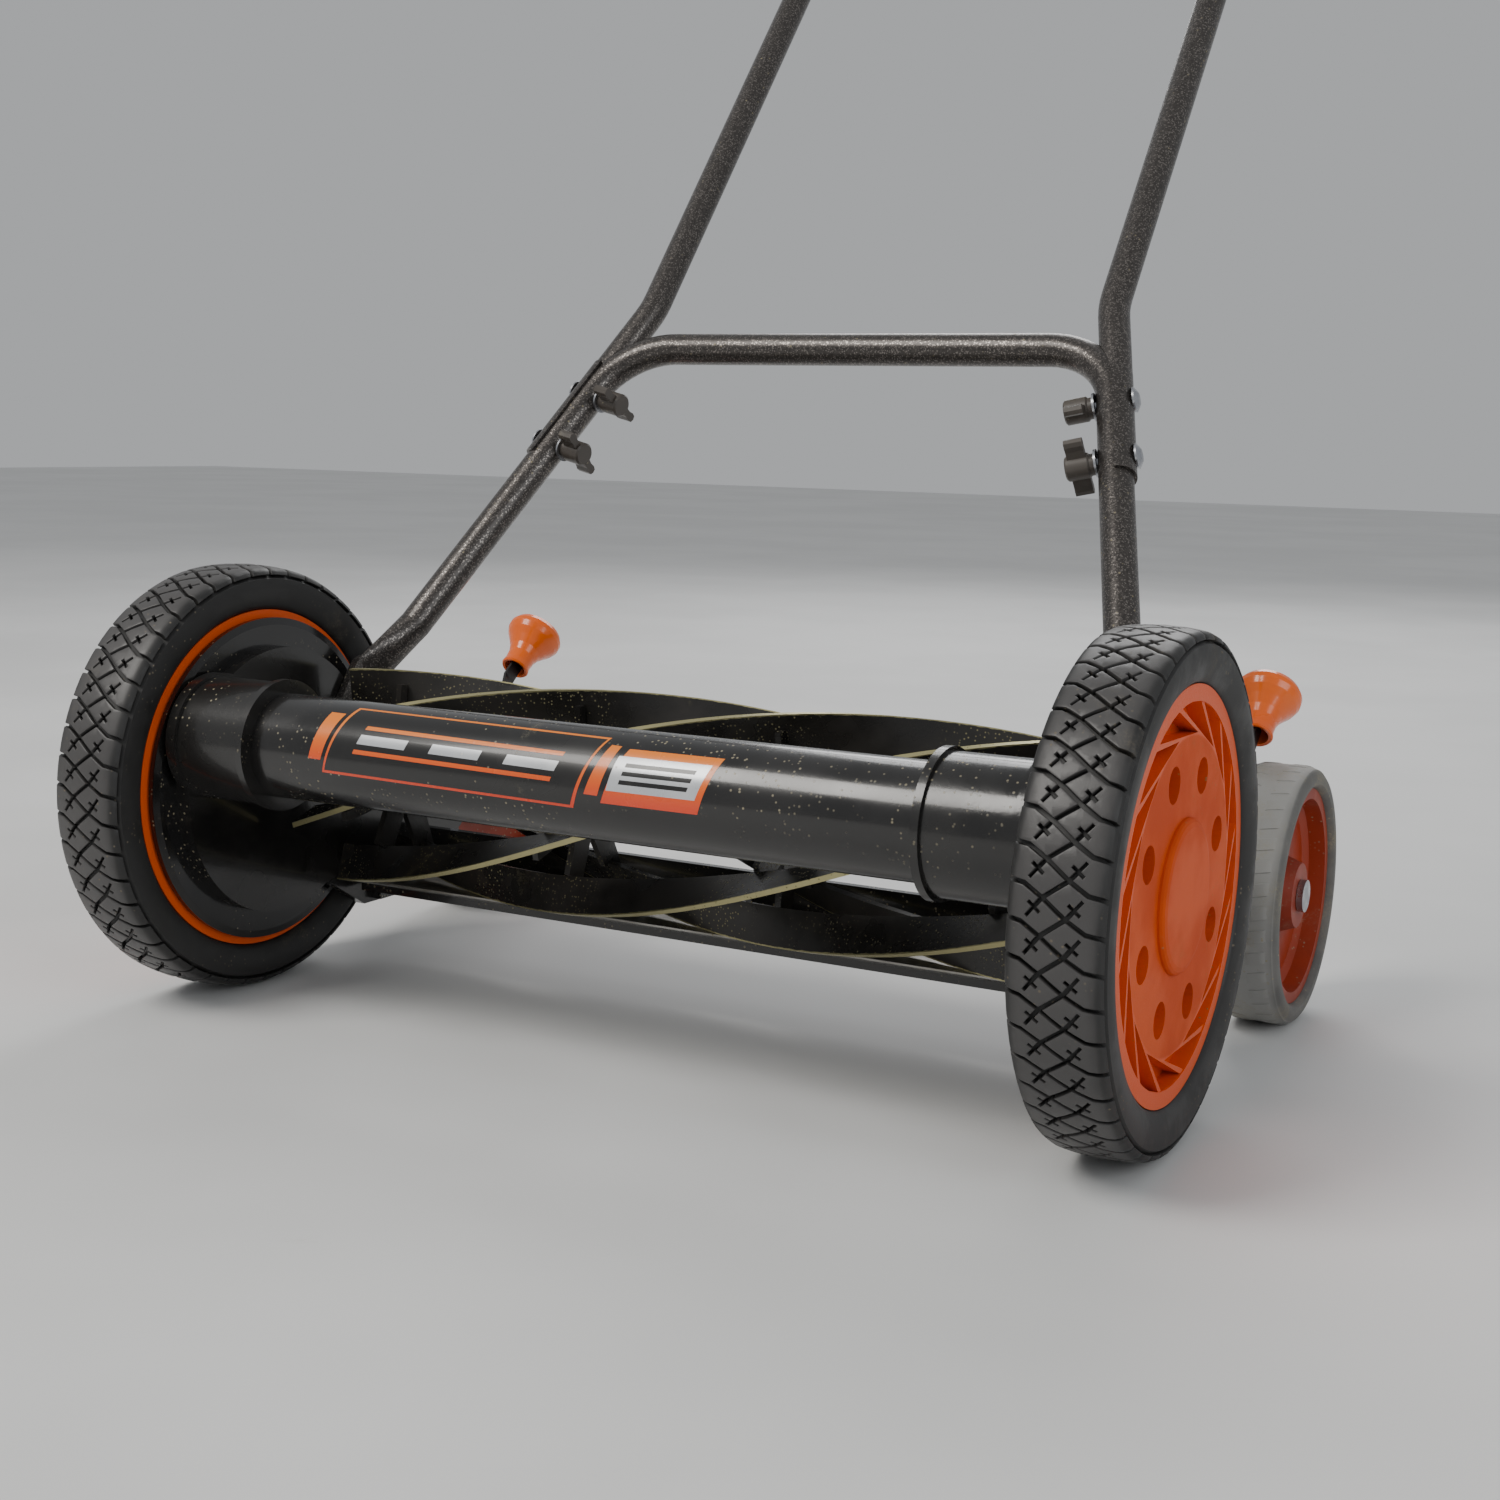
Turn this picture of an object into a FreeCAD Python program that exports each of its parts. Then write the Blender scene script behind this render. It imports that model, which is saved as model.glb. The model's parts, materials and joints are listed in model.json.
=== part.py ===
import FreeCAD, Part
import math
import os

import Sketcher
from FreeCAD import Placement, Rotation, Vector

# Push reel mower, 18 inch (457 mm) class.
# Frame: X runs along the axle, -Y is the front, +Y the handle side, +Z is up and z = 0 is the ground.
# "..._back" sizes are measured in +Y from the front axle, "..._up" sizes in +Z from the ground.
# Paired pieces are built once per side: side = -1 is the left one and side = +1 the right one.

DIMENSIONS = {
    # front wheels
    "axle_y": -340.86,
    "axle_up": 120.0,
    "axle_radius": 6.35,
    "running_gap": 0.05,
    "tyre_radius": 120.0,
    "tyre_half": 22.0,
    "tread_half": 19.5,
    "wheel_centre": 266.5,
    "hub_lip_radius": 95.25,
    "hub_half": 18.0,
    "rim_inner_radius": 87.5,
    "disc_radius": 71.0,
    "hub_boss_radius": 14.0,
    "cap_radius": 35.5,
    "rib_count": 16,
    "lug_hole_radius": 8.4,
    "lug_hole_circle": 56.5,
    "lug_hole_count": 8,
    "hub_turn": -2.0,
    # side plates and gear housings
    "plate_inner": 234.0,
    "plate_outer": 240.0,
    "housing_outer": 243.0,
    "housing_radius": 75.0,
    "cover_radius": 91.0,
    "cover_thick": 2.4,
    # reel
    "reel_back": 51.04,
    "reel_up": 117.7,
    "reel_radius": 62.8,
    "reel_half": 221.0,
    "reel_pitch": 1050.0,
    "reel_phase": 21.1,
    "blade_depth": 21.0,
    "blade_thick": 3.0,
    "blade_count": 7,
    "shaft_radius": 7.95,
    "shaft_half": 268.0,
    "spider_spacing": 126.0,
    "spider_thick": 3.5,
    # gears
    "ring_teeth": 60,
    "pinion_teeth": 12,
    "gear_inner": 250.0,
    "gear_outer": 263.0,
    "bearing_radius": 11.0,
    # front tube
    "tube_back": -50.0,
    "tube_up": 150.3,
    "tube_radius": 27.7,
    "tube_wall": 2.0,
    "collar_radius": 33.0,
    "collar_inner": 188.0,
    # cutter bar and bed knife
    "knife_top": 54.6,
    "knife_thick": 3.0,
    "knife_front": 51.0,
    "knife_rear": 83.0,
    "knife_half": 227.0,
    "bar_thick": 6.0,
    "bar_rear": 116.0,
    "bar_flange_top": 76.4,
    "ear_thick": 6.0,
    # handle
    "pivot_back": 50.0,
    "pivot_up": 146.0,
    "pivot_radius": 4.0,
    "handle_lean": 50.56,
    "leg_splay": 15.7,
    "leg_base": 158.8,
    "crossbar_back": 239.7,
    "crossbar_up": 369.2,
    "leg_drop": 217.0,
    "leg_radius": 9.5,
    "leg_wall": 1.3,
    "corner_radius": 48.0,
    "lug_inner": 229.2,
    "lug_outer": 233.7,
    "upper_radius": 9.0,
    "upper_half": 148.0,
    "grip_up": 1033.0,
    "grip_radius": 16.0,
    "grip_half": 98.0,
    "bolt_drop": 40.3,
    "bolt_spacing": 40.5,
    "bolt_radius": 3.0,
    "knob_radius": 7.0,
    "knob_height": 16.0,
    # height adjusters and rear wheels
    "lever_back": 160.0,
    "lever_up": 85.0,
    "lever_angle": 40.0,
    "lever_length": 113.0,
    "lever_pin_radius": 5.0,
    "bracket_inner": 240.3,
    "bracket_outer": 244.3,
    "notch_count": 9,
    "notch_step": 5.5,
    "quadrant_radius": 64.0,
    "rear_back": 245.0,
    "rear_radius": 72.5,
    "rear_centre": 267.0,
    "rear_axle_radius": 5.0,
}

doc = FreeCAD.newDocument("reel_mower")
sheet = doc.addObject("Spreadsheet::Sheet", "dims")
for row, (alias, amount) in enumerate(DIMENSIONS.items(), start=1):
    sheet.set(f"A{row}", alias)
    sheet.set(f"B{row}", str(amount))
    sheet.setAlias(f"B{row}", alias)
doc.recompute()

NODES = []
SIDES = (("left", -1), ("right", 1))


def number(expression):
    """Value in millimetres or degrees of an expression over the sheet's cells."""
    return float(sheet.evalExpression(str(expression)))


def size(alias):
    """Value of one driving dimension."""
    return number(f"dims.{alias}")


def node(thing, label):
    """Register a finished sub-part: its label is the name of its file."""
    thing.Label = label
    NODES.append(thing)
    return thing


# ---------------------------------------------------------------- sketch helpers

def new_body(name):
    return doc.addObject("PartDesign::Body", name)


def new_sketch(body, name, plane="YZ_Plane", lift="0 mm"):
    """Sketch on one of the body's own origin planes, lifted along that plane's normal."""
    sketch = body.newObject("Sketcher::SketchObject", name)
    origin_plane = next(item for item in body.Origin.OriginFeatures if item.Role == plane)
    sketch.AttachmentSupport = (origin_plane, "")
    sketch.MapMode = "FlatFace"
    sketch.setExpression("AttachmentOffset.Base.z", lift)
    return sketch


def hold(sketch, kind, owner, point, expression):
    """Tie one coordinate of a sketch point to an expression."""
    index = sketch.addConstraint(
        Sketcher.Constraint(kind, -1, 1, owner, point, number(expression)))
    sketch.setExpression(f"Constraints[{index}]", str(expression))


def add_polygon(sketch, corners):
    """Closed outline through corners given as pairs of expressions."""
    first = sketch.GeometryCount
    points = [Vector(number(across), number(along), 0) for across, along in corners]
    count = len(points)
    for index in range(count):
        sketch.addGeometry(Part.LineSegment(points[index], points[(index + 1) % count]))
    for index in range(count):
        sketch.addConstraint(Sketcher.Constraint(
            "Coincident", first + index, 2, first + (index + 1) % count, 1))
    for index, (across, along) in enumerate(corners):
        hold(sketch, "DistanceX", first + index, 1, across)
        hold(sketch, "DistanceY", first + index, 1, along)


def add_circle(sketch, across, along, radius):
    """Circle whose centre and radius are expressions."""
    centre = Vector(number(across), number(along), 0)
    index = sketch.addGeometry(Part.Circle(centre, Vector(0, 0, 1), number(radius)))
    hold(sketch, "DistanceX", index, 3, across)
    hold(sketch, "DistanceY", index, 3, along)
    radius_index = sketch.addConstraint(Sketcher.Constraint("Radius", index, number(radius)))
    sketch.setExpression(f"Constraints[{radius_index}]", str(radius))


def slab(body, name, near, far, side, outline, feature="PartDesign::Pad"):
    """Pad or pocket across X between two distances from the middle, on one side of the mower."""
    start = near if side > 0 else f"-({far})"
    sketch = new_sketch(body, f"{name}_outline", lift=start)
    outline(sketch)
    slab_feature = body.newObject(feature, name)
    slab_feature.Profile = sketch
    slab_feature.setExpression("Length", f"{far} - ({near})")
    if feature == "PartDesign::Pocket":
        slab_feature.Reversed = True
    body.Tip = slab_feature
    return slab_feature


def turned(body, name, corners, groove=False):
    """Revolve a closed outline about X. Corners are (along X, radius) expressions."""
    sketch = new_sketch(body, f"{name}_profile", plane="XY_Plane")
    add_polygon(sketch, corners)
    kind = "PartDesign::Groove" if groove else "PartDesign::Revolution"
    feature = body.newObject(kind, name)
    feature.Profile = sketch
    feature.ReferenceAxis = (sketch, ["H_Axis"])
    feature.Angle = 360
    body.Tip = feature
    return feature


def around(body, name, feature, sketch, count):
    """Repeat a feature about the normal of its own sketch."""
    pattern = body.newObject("PartDesign::PolarPattern", name)
    pattern.Originals = [feature]
    pattern.Axis = (sketch, ["N_Axis"])
    pattern.Angle = 360
    pattern.Occurrences = count
    body.Tip = pattern
    return pattern


def place(thing, back="0", up="0", across="0", rotation=None):
    """Put a piece at a distance from the front axle, from the ground and from the middle."""
    if rotation is not None:
        thing.Placement = Placement(Vector(0, 0, 0), rotation)
    thing.setExpression("Placement.Base.x", f"({across}) * 1 mm")
    thing.setExpression("Placement.Base.y", f"(dims.axle_y + {back}) * 1 mm")
    thing.setExpression("Placement.Base.z", f"({up}) * 1 mm")


# ---------------------------------------------------------------- primitive helpers

def cylinder(name, radius, length, base, direction):
    """Cylinder from a base point along a direction, radius and length bound to the sheet."""
    thing = doc.addObject("Part::Cylinder", name)
    thing.setExpression("Radius", str(radius))
    thing.setExpression("Height", str(length))
    thing.Placement = Placement(base, Rotation(Vector(0, 0, 1), direction))
    return thing


def hexagon(name, across_flats, length, base, direction):
    """Hexagonal bolt head or nut."""
    thing = doc.addObject("Part::Prism", name)
    thing.Polygon = 6
    thing.setExpression("Circumradius", f"{across_flats} / 2 / cos(30)")
    thing.setExpression("Height", str(length))
    thing.Placement = Placement(base, Rotation(Vector(0, 0, 1), direction))
    return thing


def fuse(name, pieces):
    thing = doc.addObject("Part::MultiFuse", name)
    thing.Shapes = pieces
    return thing


def cut(name, base, tool):
    thing = doc.addObject("Part::Cut", name)
    thing.Base = base
    thing.Tool = tool
    return thing


def group(label, pieces):
    """One node that holds several separate, identical pieces."""
    thing = doc.addObject("Part::Compound", label)
    thing.Links = pieces
    return node(thing, label)


def at(back, up, across=0.0):
    """Point in the mower's frame, from axle-relative distances."""
    return Vector(across, size("axle_y") + back, up)


def hex_bolt(name, side, start, head, back, up, radius, across_flats, head_height):
    """Bolt along X: its thread starts at |x| = start and its head sits on |x| = head, outwards."""
    outward = Vector(side, 0, 0)
    shank = cylinder(f"{name}_shank", radius, head - start, at(back, up, side * start), outward)
    cap = hexagon(f"{name}_head", across_flats, head_height, at(back, up, side * head), outward)
    return fuse(name, [shank, cap])


# ---------------------------------------------------------------- side plates

HOUSING = ("0", "dims.axle_up")
REEL = ("dims.reel_back", "dims.reel_up")
TUBE = ("dims.tube_back", "dims.tube_up")
PIVOT = ("dims.pivot_back", "dims.pivot_up")
LEVER = ("dims.lever_back", "dims.lever_up")
BAR_BOLTS = ((122.0, 58.4), (94.0, 42.4))


def quadrant_outline(sketch):
    """Sector behind the lever pivot that carries the height notches."""
    spread = (size("notch_count") + 1) / 2 * size("notch_step")
    corners = [LEVER]
    steps = 8
    for step in range(steps + 1):
        angle = size("lever_angle") - spread + 2 * spread * step / steps
        corners.append((f"dims.lever_back + dims.quadrant_radius * cos({angle})",
                        f"dims.lever_up + dims.quadrant_radius * sin({angle})"))
    add_polygon(sketch, corners)


def side_plate(label, side):
    body = new_body(label)
    slab(body, f"{label}_housing", "dims.plate_inner", "dims.housing_outer", side,
         lambda sketch: add_circle(sketch, *HOUSING, "dims.housing_radius"))
    slab(body, f"{label}_tube_lobe", "dims.plate_inner", "dims.plate_outer", side,
         lambda sketch: add_circle(sketch, *TUBE, "dims.collar_radius + 2"))
    slab(body, f"{label}_arm", "dims.plate_inner", "dims.plate_outer", side,
         lambda sketch: add_polygon(sketch, [
             ("40", "dims.axle_up + 45"), ("dims.lever_back + 8", "dims.lever_up + 44"),
             ("dims.lever_back + 18", "dims.lever_up - 6"), ("dims.lever_back + 6", "dims.lever_up - 18"),
             ("132", "dims.knife_top - 4.2"), ("114", "dims.knife_top - 20.2"),
             ("70", "dims.knife_top - 20.2"), ("20", "dims.knife_top + 9.8")]))
    slab(body, f"{label}_quadrant", "dims.plate_inner", "dims.plate_outer", side, quadrant_outline)
    slab(body, f"{label}_collar", "dims.collar_inner", "dims.plate_inner", side,
         lambda sketch: add_circle(sketch, *TUBE, "dims.collar_radius"))
    slab(body, f"{label}_collar_lip", "dims.collar_inner", "dims.collar_inner + 4", side,
         lambda sketch: add_circle(sketch, *TUBE, "dims.collar_radius + 2"))
    slab(body, f"{label}_socket", "dims.collar_inner", "dims.plate_inner", side,
         lambda sketch: add_circle(sketch, *TUBE, "dims.tube_radius"), "PartDesign::Pocket")
    slab(body, f"{label}_stop", "dims.lug_inner", "dims.plate_inner", side,
         lambda sketch: add_polygon(sketch, [
             ("dims.pivot_back + 15.2", "dims.pivot_up - 2.9"),
             ("dims.pivot_back + 21.6", "dims.pivot_up - 7.2"),
             ("dims.pivot_back + 29.4", "dims.pivot_up + 4.4"),
             ("dims.pivot_back + 23", "dims.pivot_up + 8.7")]))

    def bores(sketch):
        add_circle(sketch, *HOUSING, "dims.axle_radius")
        add_circle(sketch, *REEL, "dims.bearing_radius")
        add_circle(sketch, *PIVOT, "dims.pivot_radius")
        add_circle(sketch, *LEVER, "dims.lever_pin_radius")
        add_circle(sketch, *TUBE, "4")
        for back, up in BAR_BOLTS:
            add_circle(sketch, str(back), str(up), "4")
    slab(body, f"{label}_bores", "dims.plate_inner", "dims.housing_outer", side, bores,
         "PartDesign::Pocket")
    slab(body, f"{label}_bolt_seat", "dims.plate_outer", "dims.housing_outer", side,
         lambda sketch: add_circle(sketch, *TUBE, "8.2"), "PartDesign::Pocket")

    notch = slab(body, f"{label}_notch", "dims.plate_inner", "dims.plate_outer", side,
                 lambda sketch: add_polygon(sketch, [
                     ("dims.quadrant_radius - 6", "-2.2"), ("dims.quadrant_radius + 2", "-2.2"),
                     ("dims.quadrant_radius + 2", "2.2"), ("dims.quadrant_radius - 6", "2.2")]),
                 "PartDesign::Pocket")
    notch_sketch = notch.Profile[0]
    notch_sketch.setExpression("AttachmentOffset.Base.x", "dims.lever_back")
    notch_sketch.setExpression("AttachmentOffset.Base.y", "dims.lever_up")
    first_angle = "dims.lever_angle - (dims.notch_count - 1) / 2 * dims.notch_step"
    notch_sketch.setExpression("AttachmentOffset.Rotation.Angle", first_angle)
    pattern = around(body, f"{label}_notches", notch, notch_sketch, int(size("notch_count")))
    pattern.Mode = "Spacing"
    pattern.setExpression("Offset", "dims.notch_step")
    place(body)
    return node(body, label)


def gear_cover(label, side):
    """Dust shield that closes the inner side of the wheel."""
    body = new_body(label)
    thick = "dims.cover_thick"
    turned(body, f"{label}_dish", [
        (f"{side} * dims.housing_outer", "20"),
        (f"{side} * dims.housing_outer", "dims.cover_radius - 4"),
        (f"{side} * (dims.housing_outer + 1)", "dims.cover_radius"),
        (f"{side} * (dims.housing_outer + 4)", "dims.cover_radius"),
        (f"{side} * (dims.housing_outer + 4)", "dims.cover_radius - 2.4"),
        (f"{side} * (dims.housing_outer + {thick})", "dims.cover_radius - 5"),
        (f"{side} * (dims.housing_outer + {thick})", "20")])
    slab(body, f"{label}_pinion_window", "dims.housing_outer - 1", "dims.housing_outer + 6", side,
         lambda sketch: add_circle(sketch, "dims.reel_back", "dims.reel_up - dims.axle_up", "16"),
         "PartDesign::Pocket")
    place(body, up="dims.axle_up")
    return node(body, label)


for word, side in SIDES:
    side_plate(f"side_plate_{word}", side)
    gear_cover(f"gear_cover_{word}", side)


# ---------------------------------------------------------------- front tube

def front_tube():
    """Round tube with a threaded end plug at each side plate."""
    half = size("plate_inner")
    axis = Vector(1, 0, 0)
    plug = 10.0
    outer = cylinder("front_tube_outer", "dims.tube_radius", "2 * dims.plate_inner",
                     at(size("tube_back"), size("tube_up"), -half), axis)
    inner = cylinder("front_tube_inner", "dims.tube_radius - dims.tube_wall",
                     f"2 * dims.plate_inner - 2 * {plug}",
                     at(size("tube_back"), size("tube_up"), -half + plug), axis)
    bore = cylinder("front_tube_thread", "4", "2 * dims.plate_inner",
                    at(size("tube_back"), size("tube_up"), -half), axis)
    hollow = cut("front_tube_hollow", outer, inner)
    return node(cut("front_tube", hollow, bore), "front_tube")


front_tube()
group("tube_end_bolts", [
    hex_bolt(f"tube_end_bolt_{word}", side, size("plate_inner") - 14, size("plate_outer"),
             size("tube_back"), size("tube_up"), 4.0, 13.0, 2.8)
    for word, side in SIDES])


# ---------------------------------------------------------------- cutter bar and bed knife

KNIFE_SCREWS = 6
KNIFE_SCREW_BACK = 73.0
KNIFE_SCREW_RADIUS = 2.5
KNIFE_SCREW_LENGTH = 8.0


def screw_positions():
    """X positions of the bed knife's screws, evenly spread."""
    reach = size("knife_half") - 27
    return [reach * (2 * index / (KNIFE_SCREWS - 1) - 1) for index in range(KNIFE_SCREWS)]


def cutter_bar():
    body = new_body("cutter_bar")
    knife_seat = "dims.knife_top - dims.knife_thick"
    half = "dims.plate_inner - dims.ear_thick"
    slab(body, "cutter_bar_angle", f"-({half})", half, 1, lambda sketch: add_polygon(sketch, [
        ("60", knife_seat), ("60", f"{knife_seat} - dims.bar_thick"),
        ("dims.bar_rear", f"{knife_seat} - dims.bar_thick"), ("dims.bar_rear", "dims.bar_flange_top"),
        ("dims.bar_rear - 5", "dims.bar_flange_top"), ("dims.bar_rear - 5", knife_seat)]))
    for word, side in SIDES:
        slab(body, f"cutter_bar_ear_{word}", half, "dims.plate_inner", side,
             lambda sketch: add_polygon(sketch, [
                 ("78", f"{knife_seat} - 15.2"), ("104", f"{knife_seat} - 15.2"),
                 ("131", f"{knife_seat} - 1.2"), ("131", f"{knife_seat} + 16.8"),
                 ("118", "dims.bar_flange_top"), ("108", f"{knife_seat} + 20.8"),
                 ("78", f"{knife_seat} + 2.8")]))
        slab(body, f"cutter_bar_thread_{word}", f"{half} - 10", "dims.plate_inner", side,
             lambda sketch: [add_circle(sketch, str(back), str(up), "4") for back, up in BAR_BOLTS],
             "PartDesign::Pocket")
    knife_screw_holes(body, "cutter_bar")
    place(body)
    return node(body, "cutter_bar")


def knife_screw_holes(body, label):
    """Row of screw holes straight down from the top of the bed knife."""
    sketch = new_sketch(body, f"{label}_screw_plan", plane="XY_Plane", lift="dims.knife_top")
    for across in screw_positions():
        add_circle(sketch, str(across), str(KNIFE_SCREW_BACK), str(KNIFE_SCREW_RADIUS))
    holes = body.newObject("PartDesign::Pocket", f"{label}_screw_holes")
    holes.Profile = sketch
    holes.Length = KNIFE_SCREW_LENGTH
    body.Tip = holes


def bed_knife():
    """Flat hardened strip with a ground bevel under its front edge."""
    body = new_body("bed_knife")
    slab(body, "bed_knife_strip", "-dims.knife_half", "dims.knife_half", 1,
         lambda sketch: add_polygon(sketch, [
             ("dims.knife_front", "dims.knife_top"), ("dims.knife_rear", "dims.knife_top"),
             ("dims.knife_rear", "dims.knife_top - dims.knife_thick"),
             ("dims.knife_front + 4", "dims.knife_top - dims.knife_thick"),
             ("dims.knife_front", "dims.knife_top - 1")]))
    knife_screw_holes(body, "bed_knife")
    place(body)
    return node(body, "bed_knife")


def knife_screw(index, across):
    """Button-head screw down into the cutter bar."""
    down = Vector(0, 0, -1)
    head = cylinder(f"knife_screw_head_{index}", 5, 2,
                    at(KNIFE_SCREW_BACK, size("knife_top") + 2, across), down)
    shank = cylinder(f"knife_screw_shank_{index}", KNIFE_SCREW_RADIUS, KNIFE_SCREW_LENGTH,
                     at(KNIFE_SCREW_BACK, size("knife_top"), across), down)
    return fuse(f"knife_screw_{index}", [head, shank])


cutter_bar()
bed_knife()
group("bed_knife_screws", [knife_screw(index, across)
                           for index, across in enumerate(screw_positions())])
group("cutter_bar_bolts", [
    hex_bolt(f"cutter_bar_bolt_{word}_{index}", side, size("plate_inner") - 8, size("plate_outer"),
             back, up, 4.0, 12.0, 3.4)
    for word, side in SIDES for index, (back, up) in enumerate(BAR_BOLTS)])


# ---------------------------------------------------------------- wheel axles and reel bearings

def wheel_axle(word, side):
    """Stub axle: flat head inside the plate, groove for a retaining ring at the outer end."""
    outward = Vector(side, 0, 0)
    axle_back = 0.0
    up = size("axle_up")
    head = cylinder(f"wheel_axle_head_{word}", 10, 4.5,
                    at(axle_back, up, side * (size("plate_inner") - 4.5)), outward)
    shank = cylinder(f"wheel_axle_shank_{word}", "dims.axle_radius", 50.4,
                     at(axle_back, up, side * size("plate_inner")), outward)
    return fuse(f"wheel_axle_{word}", [head, shank])


def axle_ring(name, side, near, outer_radius, thickness):
    """Flat ring that closely surrounds the axle."""
    start = at(0.0, size("axle_up"), side * near)
    outward = Vector(side, 0, 0)
    disc = cylinder(f"{name}_disc", outer_radius, thickness, start, outward)
    bore = cylinder(f"{name}_bore", "dims.axle_radius", thickness, start, outward)
    return cut(name, disc, bore)


group("wheel_axles", [wheel_axle(word, side) for word, side in SIDES])
group("axle_washers", [axle_ring(f"axle_washer_{word}", side, 281.15, 11, 1.1)
                       for word, side in SIDES])
group("axle_retaining_rings", [axle_ring(f"axle_ring_{word}", side, 282.4, 10, 1.1)
                               for word, side in SIDES])


def reel_bearing(word, side):
    """Flanged bush pressed into the side plate."""
    body = new_body(f"reel_bearing_{word}")
    bore = "dims.shaft_radius + dims.running_gap"
    turned(body, f"reel_bearing_bush_{word}", [
        (f"{side} * (dims.plate_inner - 3.5)", bore),
        (f"{side} * (dims.plate_inner - 3.5)", "dims.bearing_radius + 1.6"),
        (f"{side} * dims.plate_inner", "dims.bearing_radius + 1.6"),
        (f"{side} * dims.plate_inner", "dims.bearing_radius"),
        (f"{side} * (dims.housing_outer + 2)", "dims.bearing_radius"),
        (f"{side} * (dims.housing_outer + 2)", bore)])
    place(body, back="dims.reel_back", up="dims.reel_up")
    return body


group("reel_bearings", [reel_bearing(word, side) for word, side in SIDES])


# ---------------------------------------------------------------- reel

TWIST = 360.0 / size("reel_pitch")
SPIDER_POSITIONS = [size("spider_spacing") * step for step in (-1.5, -0.5, 0.5, 1.5)]


def blade_angle(across):
    """Angle of the first blade from +Y towards +Z at a distance from the middle."""
    return size("reel_phase") - TWIST * across


def reel_shaft():
    """Solid shaft with a slot near each end for its pawl."""
    outer = cylinder("reel_shaft_bar", "dims.shaft_radius", "2 * dims.shaft_half",
                     at(size("reel_back"), size("reel_up"), -size("shaft_half")), Vector(1, 0, 0))
    slots = []
    for word, side in SIDES:
        slots.append(pawl_block(f"pawl_slot_{word}", side, 10.0))
    return node(cut("reel_shaft", outer, fuse("pawl_slots", slots)), "reel_shaft")


def pawl_block(name, side, reach):
    """Flat bar through the shaft, just outside the pinion."""
    block = doc.addObject("Part::Box", name)
    block.Length = 4.0
    block.Width = 4.0
    block.Height = 2 * reach
    centre = at(size("reel_back"), size("reel_up"), side * (size("gear_outer") + 2.2))
    block.Placement = Placement(centre - Vector(2, 2, reach), Rotation())
    return block


def reel_spider(index, across):
    """Plate with one arm for each blade."""
    label = f"reel_spider_{index}"
    body = new_body(label)
    half = "dims.spider_thick / 2"
    slab(body, f"{label}_boss", f"-{half}", half, 1,
         lambda sketch: add_circle(sketch, "0", "0", "17"))
    seat = "dims.reel_radius - dims.blade_depth"
    arm = slab(body, f"{label}_arm", f"-{half}", half, 1,
               lambda sketch: add_polygon(sketch, [
                   ("-8", "12"), ("8", "12"), ("5.5", seat), ("-2.5", seat),
                   ("-2.5", f"{seat} + 13"), ("-8", f"{seat} + 13"), ("-8.5", f"{seat} - 2")]))
    around(body, f"{label}_arms", arm, arm.Profile[0], int(size("blade_count")))
    slab(body, f"{label}_bore", f"-{half}", half, 1,
         lambda sketch: add_circle(sketch, "0", "0", "dims.shaft_radius"), "PartDesign::Pocket")
    turn = Rotation(Vector(1, 0, 0), blade_angle(across) - 90)
    place(body, back="dims.reel_back", up="dims.reel_up", across=str(across), rotation=turn)
    return node(body, label)


def reel_blade(index):
    """Strip wound round the shaft as a left-hand helix."""
    label = f"reel_blade_{index + 1}"
    body = new_body(label)
    sketch = new_sketch(body, f"{label}_section", lift="-dims.reel_half")
    half = "dims.blade_thick / 2"
    add_polygon(sketch, [
        (f"-{half}", "dims.reel_radius - dims.blade_depth"), (half, "dims.reel_radius - dims.blade_depth"),
        (half, "dims.reel_radius"), (f"-{half}", "dims.reel_radius")])
    helix = body.newObject("PartDesign::AdditiveHelix", f"{label}_helix")
    helix.Profile = sketch
    helix.ReferenceAxis = (sketch, ["N_Axis"])
    helix.Mode = 0
    helix.LeftHanded = True
    helix.setExpression("Pitch", "dims.reel_pitch")
    helix.setExpression("Height", "2 * dims.reel_half")
    body.Tip = helix
    spread = 360.0 / size("blade_count")
    turn = Rotation(Vector(1, 0, 0), blade_angle(-size("reel_half")) + spread * index - 90)
    place(body, back="dims.reel_back", up="dims.reel_up", rotation=turn)
    return node(body, label)


reel_shaft()
for spider_index, spider_across in enumerate(SPIDER_POSITIONS, start=1):
    reel_spider(spider_index, spider_across)
for blade_index in range(int(size("blade_count"))):
    reel_blade(blade_index)
group("drive_pawls", [pawl_block(f"drive_pawl_{word}", side, 9.8) for word, side in SIDES])


# ---------------------------------------------------------------- gears

PRESSURE_ANGLE = math.radians(25)
BACKLASH = 0.15
GEAR_OFFSET = math.hypot(size("reel_back"), size("axle_up") - size("reel_up"))
GEAR_MODULE = 2 * GEAR_OFFSET / (size("ring_teeth") - size("pinion_teeth"))
MESH_ANGLE = math.atan2(size("reel_up") - size("axle_up"), size("reel_back"))


def involute(radius, base):
    """Involute function at a radius outside the base circle."""
    angle = math.acos(min(1.0, base / radius))
    return math.tan(angle) - angle


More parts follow.
